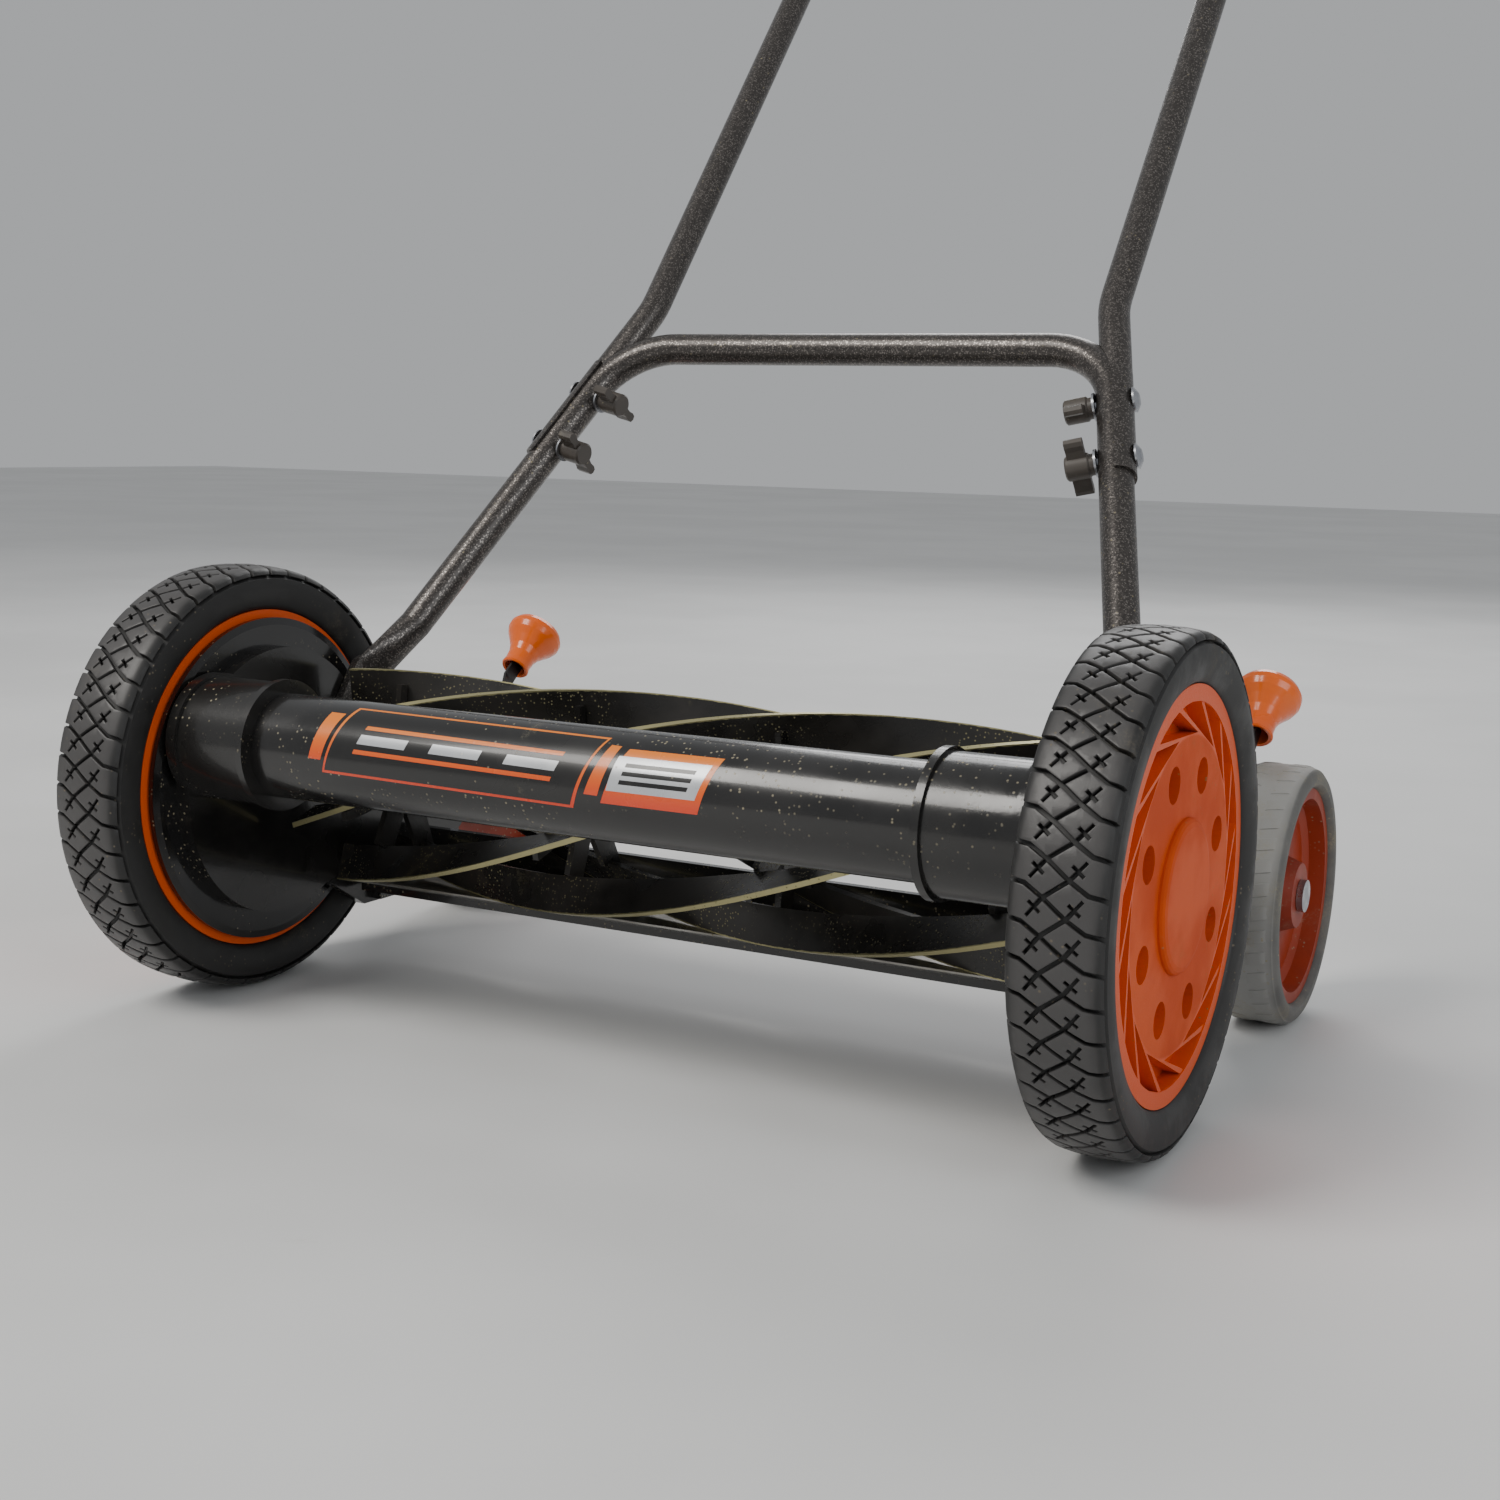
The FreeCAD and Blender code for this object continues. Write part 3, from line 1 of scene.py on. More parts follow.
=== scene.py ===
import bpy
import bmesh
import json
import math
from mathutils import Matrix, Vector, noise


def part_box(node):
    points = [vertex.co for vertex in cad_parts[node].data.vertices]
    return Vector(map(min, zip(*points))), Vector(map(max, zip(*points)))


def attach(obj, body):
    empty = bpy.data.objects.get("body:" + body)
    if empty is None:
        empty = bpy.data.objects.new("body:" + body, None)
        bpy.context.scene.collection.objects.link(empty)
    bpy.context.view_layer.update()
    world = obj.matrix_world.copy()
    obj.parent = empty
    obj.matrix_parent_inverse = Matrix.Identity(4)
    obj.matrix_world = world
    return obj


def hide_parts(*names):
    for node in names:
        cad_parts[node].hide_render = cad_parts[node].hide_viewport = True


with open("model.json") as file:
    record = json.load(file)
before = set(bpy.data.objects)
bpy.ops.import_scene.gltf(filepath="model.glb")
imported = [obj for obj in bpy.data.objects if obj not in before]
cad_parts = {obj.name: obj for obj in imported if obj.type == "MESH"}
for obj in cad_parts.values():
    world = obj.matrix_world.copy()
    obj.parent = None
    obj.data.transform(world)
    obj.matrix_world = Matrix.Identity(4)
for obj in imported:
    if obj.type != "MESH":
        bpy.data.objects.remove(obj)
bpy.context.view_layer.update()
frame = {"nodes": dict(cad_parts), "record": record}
# %% [markdown]
# # A push reel mower
# The machine has two geared front wheels on a black tube, a reel of seven twisted blades that cuts
# against a fixed knife, two small rear wheels on height levers and a bent tube handle.
# The frame that was just loaded holds every hard piece in metres. Blender's part of the work is the
# finish of each surface, and the pieces that a lathe or a flat sketch can't show well: the tyres with
# their tread, the soft grip, the moulded knobs and the printed label.

MM = 0.001
SIDES = (("left", -1), ("right", 1))
for stray in ("Cube", "Light", "Camera"):
    if stray in bpy.data.objects:
        bpy.data.objects.remove(bpy.data.objects[stray])


def middle(node):
    """Centre of a frame node's box."""
    low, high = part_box(node)
    return (Vector(low) + Vector(high)) / 2


AXLE = middle("wheel_hub_left")
AXLE.x = 0
TUBE = middle("front_tube")
REEL = middle("reel_shaft")
REAR = middle("rear_hub_left")
REAR.x = 0
print("frame:", len(frame["nodes"]), "pieces; axle at", [round(v, 4) for v in AXLE])

# %% [markdown]
# ## Camera, floor and light
# A low camera in front of the right wheel looks slightly down along the mower. Its direction is given
# by three angles, so the matrix is built from them instead of from a target: yaw turns it, pitch tips
# it, and a small roll tilts the horizon. Big soft lamps are used because gloss black needs something
# broad to reflect.

# %% Camera
YAW, PITCH, ROLL = (math.radians(angle) for angle in (28.24, 8.99, 1.28))
ahead = Vector((-math.sin(YAW) * math.cos(PITCH), math.cos(YAW) * math.cos(PITCH), -math.sin(PITCH)))
level = Vector((math.cos(YAW), math.sin(YAW), 0))
above = level.cross(ahead)
right = level * math.cos(ROLL) + above * math.sin(ROLL)
upward = above * math.cos(ROLL) - level * math.sin(ROLL)
lens = bpy.data.cameras.new("camera")
lens.lens = 48.76
lens.sensor_width = 36
lens.clip_start = 0.05
camera = bpy.data.objects.new("camera", lens)
bpy.context.scene.collection.objects.link(camera)
place = Matrix((right, upward, -ahead)).transposed().to_4x4()
place.translation = AXLE + Vector((532.08, -870.99, 201.62)) * MM
camera.matrix_world = place
bpy.context.scene.camera = camera
print("camera at", [round(v, 3) for v in place.translation])


# %% Floor and lamps
def lamp(name, spot, aim, size, power, tint=(1, 1, 1)):
    """Square soft lamp that faces a point."""
    data = bpy.data.lights.new(name, "AREA")
    data.shape = "SQUARE"
    data.size = size
    data.energy = power
    data.color = tint
    thing = bpy.data.objects.new(name, data)
    bpy.context.scene.collection.objects.link(thing)
    facing = (Vector(aim) - Vector(spot)).to_track_quat("-Z", "Y").to_matrix().to_4x4()
    facing.translation = Vector(spot)
    thing.matrix_world = facing
    return thing


lamp("key_lamp", (-1.1, -1.9, 2.3), (0, -0.3, 0.15), 1.2, 52, (1.0, 0.97, 0.92))
lamp("side_lamp", (2.4, -1.2, 1.3), (0.1, -0.3, 0.15), 1.4, 17, (0.95, 0.98, 1.0))
lamp("back_lamp", (-0.6, 2.2, 2.0), (0, 0, 0.4), 1.6, 34)
world = bpy.data.worlds.new("studio")
bpy.context.scene.world = world
world.use_nodes = True
world.node_tree.nodes["Background"].inputs["Color"].default_value = (0.86, 0.88, 0.90, 1)
world.node_tree.nodes["Background"].inputs["Strength"].default_value = 0.50

ground = bmesh.new()
bmesh.ops.create_grid(ground, x_segments=2, y_segments=2, size=9)
floor_mesh = bpy.data.meshes.new("floor")
ground.to_mesh(floor_mesh)
ground.free()
floor = bpy.data.objects.new("floor", floor_mesh)
bpy.context.scene.collection.objects.link(floor)
print("stage: floor and three lamps")

# %% [markdown]
# ## Finishes
# Every finish is a Principled shader fed by procedural patterns on Object coordinates, so it needs no
# unwrapping and stays glued to a piece when its body turns. Effects that many finishes share are
# shader node groups: a colour drift, a dust film, fine specks, a grain for the bump. They are built
# once and give out only masks and heights; the shader itself stays in each material.


# %% Node helpers
def add(tree, kind, inputs=None, **settings):
    """One node, with its inputs set or linked and its settings applied."""
    made = tree.nodes.new(kind)
    for key, value in settings.items():
        setattr(made, key, value)
    for socket, value in (inputs or {}).items():
        if isinstance(value, bpy.types.NodeSocket):
            tree.links.new(value, made.inputs[socket])
        else:
            made.inputs[socket].default_value = value
    return made


def math_node(tree, operation, first, second=0.5, clamp=False):
    return add(tree, "ShaderNodeMath", {0: first, 1: second}, operation=operation, use_clamp=clamp).outputs[0]


def ramp(tree, value, low, high, out_low=0.0, out_high=1.0):
    """Smooth step of a value between two limits."""
    made = add(tree, "ShaderNodeMapRange", {"Value": value, "From Min": low, "From Max": high,
                                            "To Min": out_low, "To Max": out_high})
    made.interpolation_type = "SMOOTHSTEP"
    return made.outputs["Result"]


def blend_colour(tree, share, first, second):
    """Mix of two colours by a mask."""
    mix = tree.nodes.new("ShaderNodeMix")
    mix.data_type = "RGBA"
    for socket, value in ((mix.inputs[0], share), (mix.inputs[6], first), (mix.inputs[7], second)):
        if isinstance(value, bpy.types.NodeSocket):
            tree.links.new(value, socket)
        else:
            socket.default_value = value if isinstance(value, float) else (*value, 1)[:4]
    return mix.outputs[2]


def effect(name, inputs, output):
    """Empty shader group with float inputs, a vector called Place and one value output."""
    tree = bpy.data.node_groups.new(name, "ShaderNodeTree")
    tree.interface.new_socket("Place", in_out="INPUT", socket_type="NodeSocketVector")
    for label, value in inputs.items():
        socket = tree.interface.new_socket(label, in_out="INPUT", socket_type="NodeSocketFloat")
        socket.default_value = value
    tree.interface.new_socket(output, in_out="OUTPUT", socket_type="NodeSocketFloat")
    return tree, tree.nodes.new("NodeGroupInput"), tree.nodes.new("NodeGroupOutput")


print("node helpers ready")

# %% [markdown]
# ### Four shared effects
# *Drift* is slow unevenness of colour and gloss. *Dust film* is patchy and breaks up at a fine scale,
# like dry soil that was splashed and rubbed. *Specks* are single grains: a Voronoi pattern gives one
# random number to each cell, and only a few cells get a dot. *Grain* is the height of a moulded,
# cast or hammered skin.

# %% Shared effects
drift, source, sink = effect("Drift", {"Scale": 12.0}, "Mask")
slow = add(drift, "ShaderNodeTexNoise", {
    "Vector": source.outputs["Place"], "Scale": source.outputs["Scale"], "Detail": 4.0, "Roughness": 0.6})
drift.links.new(ramp(drift, slow.outputs["Fac"], 0.36, 0.64), sink.inputs[0])

dust_film, source, sink = effect("Dust film", {"Scale": 22.0, "Amount": 0.4}, "Mask")
patches = add(dust_film, "ShaderNodeTexNoise", {
    "Vector": source.outputs["Place"], "Scale": source.outputs["Scale"],
    "Detail": 8.0, "Roughness": 0.68, "Distortion": 0.4})
fine = add(dust_film, "ShaderNodeTexNoise", {
    "Vector": source.outputs["Place"], "Scale": 900.0, "Detail": 3.0})
spread = math_node(dust_film, "MULTIPLY", source.outputs["Amount"], 0.4)
edge = math_node(dust_film, "SUBTRACT", 0.78, spread)
cover = ramp(dust_film, math_node(dust_film, "SUBTRACT", patches.outputs["Fac"], edge), -0.12, 0.16)
grit = ramp(dust_film, fine.outputs["Fac"], 0.38, 0.66, 0.25, 1.0)
dust_film.links.new(math_node(dust_film, "MULTIPLY", cover, grit), sink.inputs[0])

specks, source, sink = effect("Specks", {"Scale": 420.0, "Share": 0.12}, "Mask")
cells = add(specks, "ShaderNodeTexVoronoi", {
    "Vector": source.outputs["Place"], "Scale": source.outputs["Scale"]})
pick = add(specks, "ShaderNodeSeparateColor", {"Color": cells.outputs["Color"]})
chosen = math_node(specks, "LESS_THAN", pick.outputs[0], source.outputs["Share"])
dot = ramp(specks, cells.outputs["Distance"], 0.34, 0.12)
gathered = add(specks, "ShaderNodeTexNoise", {
    "Vector": source.outputs["Place"], "Scale": 16.0, "Detail": 2.0})
crowd = ramp(specks, gathered.outputs["Fac"], 0.40, 0.62)
dots = math_node(specks, "MULTIPLY", chosen, dot)
specks.links.new(math_node(specks, "MULTIPLY", dots, crowd), sink.inputs[0])

grain, source, sink = effect("Grain", {"Scale": 900.0, "Cells": 0.5}, "Height")
pebble = add(grain, "ShaderNodeTexNoise", {
    "Vector": source.outputs["Place"], "Scale": source.outputs["Scale"], "Detail": 3.0, "Roughness": 0.55})
hammer = add(grain, "ShaderNodeTexVoronoi", {
    "Vector": source.outputs["Place"], "Scale": source.outputs["Scale"], "Smoothness": 0.6},
    feature="SMOOTH_F1")
mixed = add(grain, "ShaderNodeMix", {0: source.outputs["Cells"], 2: pebble.outputs["Fac"],
                                     3: hammer.outputs["Distance"]})
grain.links.new(mixed.outputs[0], sink.inputs[0])
print("shared effects:", [tree.name for tree in (drift, dust_film, specks, grain)])

# %% [markdown]
# ### One recipe for most finishes
# Paint, plastic, plate and rubber differ in numbers, not in kind. The recipe mixes two tones of the
# base by *Drift*, lays dust and specks over them, makes dusty places rougher, and presses the *Grain*
# in with a Bump node. Finishes that need a place on the mower, such as a ground blade edge, get an
# extra mask afterwards from the distance to an axis.


# %% The recipe
def use(tree, group, place, **values):
    """A shared effect inside a material."""
    made = add(tree, "ShaderNodeGroup", node_tree=group)
    tree.links.new(place, made.inputs["Place"])
    for key, value in values.items():
        made.inputs[key.capitalize()].default_value = value
    return made.outputs[0]


def finish(name, base, tone, rough, drift_scale=14.0, dust=0.3, speck=0.08, speck_scale=420.0,
           dust_tint=(0.30, 0.26, 0.17), grain_scale=900.0, cells=0.0, depth=0.02, metallic=0.0,
           coat=0.0, coat_rough=0.08, sheen=0.0, shine=0.5, worn=None):
    """Procedural material.

    rough is the roughness where it is clean, uneven and dusty. worn is a mask builder with the colour,
    roughness and metal that it brings out.
    """
    material = bpy.data.materials.new(name)
    material.use_nodes = True
    tree = material.node_tree
    shader = tree.nodes["Principled BSDF"]
    place = add(tree, "ShaderNodeTexCoord").outputs["Object"]
    slow_mask = use(tree, drift, place, scale=drift_scale)
    film = use(tree, dust_film, place, amount=dust)
    dots = use(tree, specks, place, scale=speck_scale, share=speck)
    height = use(tree, grain, place, scale=grain_scale, cells=cells)
    colour = blend_colour(tree, slow_mask, base, tone)
    roughness = ramp(tree, slow_mask, 0.0, 1.0, rough[0], rough[1])
    metal = None
    if worn:
        mask = worn[0](tree, place)
        colour = blend_colour(tree, mask, colour, worn[1])
        roughness = add(tree, "ShaderNodeMix", {0: mask, 2: roughness, 3: worn[2]}).outputs[0]
        if worn[3] is not None:
            metal = add(tree, "ShaderNodeMix", {0: mask, 2: metallic, 3: worn[3]}).outputs[0]
    soil = math_node(tree, "MAXIMUM", film, dots, clamp=True)
    colour = blend_colour(tree, soil, colour, dust_tint)
    roughness = add(tree, "ShaderNodeMix", {0: soil, 2: roughness, 3: rough[2]}).outputs[0]
    tree.links.new(colour, shader.inputs["Base Color"])
    tree.links.new(roughness, shader.inputs["Roughness"])
    shader.inputs["Metallic"].default_value = metallic
    if metal is not None:
        tree.links.new(metal, shader.inputs["Metallic"])
    shader.inputs["Coat Weight"].default_value = coat
    shader.inputs["Coat Roughness"].default_value = coat_rough
    shader.inputs["Sheen Weight"].default_value = sheen
    shader.inputs["Specular IOR Level"].default_value = shine
    raised = math_node(tree, "ADD", height, math_node(tree, "MULTIPLY", soil, 0.35))
    bump = add(tree, "ShaderNodeBump", {"Height": raised, "Strength": 1.0, "Distance": depth * MM})
    tree.links.new(bump.outputs["Normal"], shader.inputs["Normal"])
    return material


def axis_distance(tree, place, centre):
    """Distance of a point from a line along X through a centre."""
    off = add(tree, "ShaderNodeVectorMath", {0: place, 1: tuple(centre)}, operation="SUBTRACT")
    flat = add(tree, "ShaderNodeVectorMath", {0: off.outputs[0], 1: (0, 1, 1)}, operation="MULTIPLY")
    return add(tree, "ShaderNodeVectorMath", {0: flat.outputs[0]}, operation="LENGTH").outputs["Value"]


def roughened(tree, place, value, scale, amount):
    """A value with a little noise added, so that its limit is not a perfect circle."""
    fuzz = add(tree, "ShaderNodeTexNoise", {"Vector": place, "Scale": scale, "Detail": 3.0}).outputs["Fac"]
    offset = math_node(tree, "MULTIPLY", math_node(tree, "SUBTRACT", fuzz, 0.5), amount)
    return math_node(tree, "ADD", value, offset)


print("recipe ready")

# %% [markdown]
# ### Where the wear sits
# A reel blade is painted, but its outer edge is ground bare: the mask is the distance from the reel's
# axis. A tyre's tread tops are polished by the ground while its grooves keep dirt. The wheel's middle
# disc and cap have a spark-eroded, sandy skin, and its rim and ribs are smoother. Brightwork shows
# faint scratches.


# %% Wear masks
def ground_edge(tree, place):
    reach = roughened(tree, place, axis_distance(tree, place, REEL), 260.0, 1.2 * MM)
    return ramp(tree, reach, 61.9 * MM, 62.3 * MM)


def tread_top(tree, place):
    reach = roughened(tree, place, axis_distance(tree, place, AXLE), 60.0, 1.0 * MM)
    return ramp(tree, reach, 117.4 * MM, 119.2 * MM)


def rear_tread_top(tree, place):
    reach = roughened(tree, place, axis_distance(tree, place, REAR), 60.0, 1.0 * MM)
    return ramp(tree, reach, 69.0 * MM, 71.8 * MM)


def scratches(tree, place):
    stretch = add(tree, "ShaderNodeMapping", {"Vector": place, "Scale": (60.0, 900.0, 900.0)})
    lines = add(tree, "ShaderNodeTexNoise", {"Vector": stretch.outputs[0], "Scale": 1.0, "Detail": 6.0,
                                             "Roughness": 0.75})
    return ramp(tree, lines.outputs["Fac"], 0.60, 0.78)


def chipped(tree, place):
    flakes = add(tree, "ShaderNodeTexNoise", {"Vector": place, "Scale": 85.0, "Detail": 9.0,
                                              "Roughness": 0.8})
    return ramp(tree, flakes.outputs["Fac"], 0.70, 0.74)


def sparkle(tree, place):
    flakes = add(tree, "ShaderNodeTexVoronoi", {"Vector": place, "Scale": 1500.0})
    pick = add(tree, "ShaderNodeSeparateColor", {"Color": flakes.outputs["Color"]})
    return ramp(tree, pick.outputs[0], 0.80, 0.86)


def smooth_rim(tree, place):
    return ramp(tree, axis_distance(tree, place, AXLE), 71.5 * MM, 73.5 * MM)


# %% The finishes
BLACK = (0.0075, 0.0070, 0.0068)
finishes = {
    "black_casting": finish(
        "black enamel on casting", BLACK, (0.013, 0.012, 0.011), (0.16, 0.28, 0.75), dust=0.06,
        speck=0.30, grain_scale=520.0, depth=0.05, coat=0.35,
        worn=(chipped, (0.10, 0.09, 0.085), 0.5, None)),
    "black_steel": finish(
        "black enamel on steel", BLACK, (0.014, 0.013, 0.0125), (0.17, 0.26, 0.75), dust=0.08,
        speck=0.34, grain_scale=340.0, depth=0.03, coat=0.4),
    "black_plastic": finish(
        "gloss black plastic", (0.006, 0.006, 0.0065), (0.010, 0.0095, 0.009), (0.14, 0.22, 0.7),
        dust=0.04, speck=0.26, grain_scale=260.0, depth=0.015, coat=0.3),
    "zinc": finish(
        "zinc plate", (0.52, 0.53, 0.55), (0.38, 0.39, 0.42), (0.24, 0.40, 0.7), drift_scale=90.0,
        dust=0.12, speck=0.03, grain_scale=1500.0, depth=0.015, metallic=1.0,
        worn=(scratches, (0.70, 0.70, 0.70), 0.2, None)),
    "blade_steel": finish(
        "black blade with a ground edge", (0.013, 0.012, 0.011), (0.024, 0.021, 0.018),
        (0.24, 0.42, 0.85), dust=0.12, speck=0.50, speck_scale=560.0, grain_scale=420.0, depth=0.05,
        dust_tint=(0.26, 0.23, 0.12), worn=(ground_edge, (0.46, 0.42, 0.22), 0.36, 0.8)),
    "knife_steel": finish(
        "ground knife steel", (0.36, 0.35, 0.33), (0.25, 0.24, 0.22), (0.26, 0.42, 0.8), dust=0.45,
        speck=0.16, grain_scale=1300.0, depth=0.02, metallic=1.0,
        worn=(scratches, (0.62, 0.61, 0.58), 0.2, None)),
    "spring_steel": finish(
        "black oxide steel", (0.030, 0.030, 0.032), (0.055, 0.052, 0.05), (0.32, 0.48, 0.8), dust=0.25,
        speck=0.08, grain_scale=1100.0, depth=0.02, metallic=0.8),
    "bronze": finish(
        "sintered bronze", (0.42, 0.27, 0.12), (0.30, 0.19, 0.085), (0.34, 0.5, 0.8), drift_scale=120.0,
        dust=0.2, speck=0.05, grain_scale=2200.0, depth=0.03, metallic=1.0),
    "orange_plastic": finish(
        "sandy orange plastic", (0.66, 0.080, 0.0015), (0.54, 0.055, 0.0015), (0.52, 0.64, 0.8),
        dust=0.14, speck=0.12, dust_tint=(0.34, 0.20, 0.08), shine=0.22, grain_scale=1050.0, depth=0.14,
        worn=(smooth_rim, (0.72, 0.082, 0.0015), 0.34, None)),
    "orange_knob": finish(
        "gloss orange plastic", (0.90, 0.150, 0.0015), (0.84, 0.115, 0.0015), (0.20, 0.28, 0.7),
        dust=0.04, speck=0.05, dust_tint=(0.45, 0.30, 0.15), grain_scale=300.0, depth=0.02, coat=0.3),
    "rear_orange": finish(
        "dull red-orange plastic", (0.34, 0.032, 0.004), (0.24, 0.022, 0.004), (0.42, 0.55, 0.8),
        dust=0.25, speck=0.14, grain_scale=800.0, depth=0.04),
    "tyre_rubber": finish(
        "charcoal tyre rubber", (0.013, 0.0125, 0.012), (0.020, 0.0195, 0.019), (0.46, 0.62, 0.88),
        drift_scale=30.0, dust=0.20, speck=0.12, dust_tint=(0.15, 0.125, 0.09), grain_scale=1500.0,
        depth=0.05, worn=(tread_top, (0.060, 0.057, 0.056), 0.42, None)),
    "rear_rubber": finish(
        "worn grey rubber", (0.10, 0.098, 0.092), (0.15, 0.145, 0.135), (0.58, 0.72, 0.9),
        drift_scale=40.0, dust=0.50, speck=0.16, grain_scale=1300.0, depth=0.06,
        worn=(rear_tread_top, (0.30, 0.295, 0.28), 0.6, None)),
    "gear_plastic": finish(
        "moulded nylon", (0.60, 0.57, 0.49), (0.50, 0.47, 0.40), (0.36, 0.46, 0.8), dust=0.3,
        speck=0.06, grain_scale=700.0, depth=0.02),
    "handle_tube": finish(
        "hammered bronze powder coat", (0.045, 0.040, 0.037), (0.070, 0.062, 0.057), (0.30, 0.42, 0.8),
        drift_scale=700.0, dust=0.05, speck=0.10, grain_scale=760.0, cells=0.8, depth=0.09,
        metallic=0.6, coat=0.15, coat_rough=0.2, worn=(sparkle, (0.20, 0.18, 0.165), 0.28, 0.8)),
    "foam": finish(
        "black foam", (0.018, 0.018, 0.019), (0.028, 0.027, 0.026), (0.84, 0.94, 0.98),
        drift_scale=60.0, dust=0.25, speck=0.08, grain_scale=1400.0, cells=0.7, depth=0.35, sheen=0.25),
    "knob_plastic": finish(
        "brown-grey satin plastic", (0.060, 0.050, 0.042), (0.082, 0.070, 0.060), (0.36, 0.48, 0.8),
        dust=0.25, speck=0.06, grain_scale=900.0, depth=0.05),
    "label_ink": finish(
        "printed film, black", (0.010, 0.0095, 0.009), (0.014, 0.013, 0.012), (0.24, 0.32, 0.7),
        dust=0.14, speck=0.08, grain_scale=260.0, depth=0.01, coat=0.3),
    "label_silver": finish(
        "printed film, silver", (0.56, 0.58, 0.60), (0.66, 0.67, 0.68), (0.26, 0.36, 0.7), dust=0.16,
        speck=0.06, grain_scale=260.0, depth=0.01, metallic=0.35, coat=0.3),
}
print(len(finishes), "finishes")


# %% [markdown]
# ### Printed colours
# The label's border runs from orange at its top to red at its lower edge. The tone follows the height
# above the tube's lower side, so one material serves every orange part of the label. The floor gets a
# pale, faintly mottled concrete, so that it is not a flat colour either.

# %% Label border and floor finish
border = finish("printed film, orange to red", (0.80, 0.10, 0.012), (0.72, 0.07, 0.010),
                (0.26, 0.34, 0.7), dust=0.12, speck=0.06, grain_scale=260.0, depth=0.01, coat=0.3)
tree = border.node_tree
shader = tree.nodes["Principled BSDF"]
under_dust = shader.inputs["Base Color"].links[0].from_socket
place = add(tree, "ShaderNodeTexCoord").outputs["Object"]
lift = add(tree, "ShaderNodeSeparateXYZ", {0: place}).outputs["Z"]
warm = ramp(tree, lift, TUBE.z - 6 * MM, TUBE.z + 24 * MM)
sunrise = blend_colour(tree, warm, (0.74, 0.045, 0.012), (0.95, 0.27, 0.012))
tree.links.new(blend_colour(tree, 0.8, under_dust, sunrise), shader.inputs["Base Color"])
finishes["label_orange"] = border

concrete = finish("pale floor", (0.66, 0.66, 0.655), (0.72, 0.72, 0.715), (0.62, 0.72, 0.8),
                  drift_scale=1.5, dust=0.0, speck=0.0, grain_scale=240.0, depth=0.05)
floor.data.materials.append(concrete)
print("label and floor finishes ready")

# %% [markdown]
# ### Giving the frame its finishes
# The record names a material slot for each node. The node's mesh stays as it is; only its slot gets a
# new material.

# %% Paint the frame
for row in frame["record"]["subparts"]:
    thing = frame["nodes"][row["node"]]
    thing.data.materials.clear()
    glossy = row["node"].startswith("adjuster_knob")
    thing.data.materials.append(finishes["orange_knob" if glossy else row["material_slot"]])

# %% [markdown]
# ## Helpers for the pieces made here
# A finished object stands at the origin with its place in its mesh, just as the frame's own pieces
# do. `keep` turns a bmesh into such an object, gives it its finish and says which frame piece it
# stands in for. `lathe` turns a closed section about a line along X, which is how a tyre's carcass
# and a foam sleeve are described best.


# %% Keep and lathe
def keep(name, mesh, material, body, instead=()):
    """Object at the origin from a mesh or bmesh, riding on a body or standing in for frame nodes."""
    if isinstance(mesh, bmesh.types.BMesh):
        shape, mesh = mesh, bpy.data.meshes.new(name)
        bmesh.ops.recalc_face_normals(shape, faces=shape.faces)
        shape.to_mesh(mesh)
        shape.free()
    thing = bpy.data.objects.new(name, mesh)
    bpy.context.scene.collection.objects.link(thing)
    mesh.materials.clear()
    mesh.materials.append(material)
    mesh.shade_smooth()
    mesh.set_sharp_from_angle(angle=math.radians(32))
    if instead:
        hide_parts(*instead)
    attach(thing, body)
    print(name, len(mesh.polygons), "faces, rides on", body)
    return thing


def lathe(shape, section, centre, steps=96):
    """Closed ring turned about a line along X from a closed list of (x, radius) in mm."""
    rings = []
    for k in range(steps):
        turn = 2 * math.pi * k / steps
        rings.append([shape.verts.new((centre.x + x * MM, centre.y - r * MM * math.cos(turn),
                                       centre.z + r * MM * math.sin(turn))) for x, r in section])
    for k in range(steps):
        here, there = rings[k], rings[(k + 1) % steps]
        for j in range(len(section)):
            n = (j + 1) % len(section)
            shape.faces.new((here[j], here[n], there[n], there[j]))


# %% [markdown]
# ## The front tyres' tread
# The tread is moulded as pairs of blocks that lock into each other across the middle, parted by an
# S-shaped groove and a second groove whose ends run on as slits with a small crossing tick. All 48
# pairs are alike, so one block is drawn flat, raised to a solid, wrapped over the crown and shoulder,
# and then copied around the axle.
#
# The drawing's axes are *across* (mm along the section, outwards) and *around* (in pitches). A slit is
# drawn as a path that goes in and comes back on itself: moving every edge inwards by half a groove
# opens it to its real width, so grooves and slits come from one outline.

# %% One block, drawn flat
PITCHES = 48
CROWN = 120.0
PITCH = 2 * math.pi * CROWN / PITCHES
GROOVE = 1.0
SLIT = 0.75
GROOVE_DEPTH = 3.2
ROUNDING = 0.35


def block_path():
    """Closed path of the right-hand block as (point, half gap of the edge that follows it)."""
    root = Vector((5.25, -1.25 * PITCH))
    tip = Vector((11.25, -0.77 * PITCH))
    along = (tip - root).normalized()
    side = Vector((-along.y, along.x))
    knee = root + along * 5.2
    tick = side * 2.6
    stubs = [(root, GROOVE), (knee, SLIT), (knee + tick, SLIT), (knee, SLIT), (tip, SLIT), (knee, SLIT),
             (knee - tick, SLIT), (knee, GROOVE), (root, GROOVE)]
    rest = [(13.75, -1.577), (20.25, -1.64), (23.0, -1.70), (23.0, -0.70), (20.25, -0.64),
            (13.75, -0.577), (5.25, -0.25)]
    path = [(Vector((-5.25, -0.75 * PITCH)), GROOVE)] + stubs
    path += [(Vector((across, around * PITCH)), GROOVE) for across, around in rest]
    gaps = [0.0 if point.x == 23.0 and after.x == 23.0 else gap
            for (point, gap), (after, _) in zip(path, path[1:] + path[:1])]
    return [point for point, _ in path], gaps


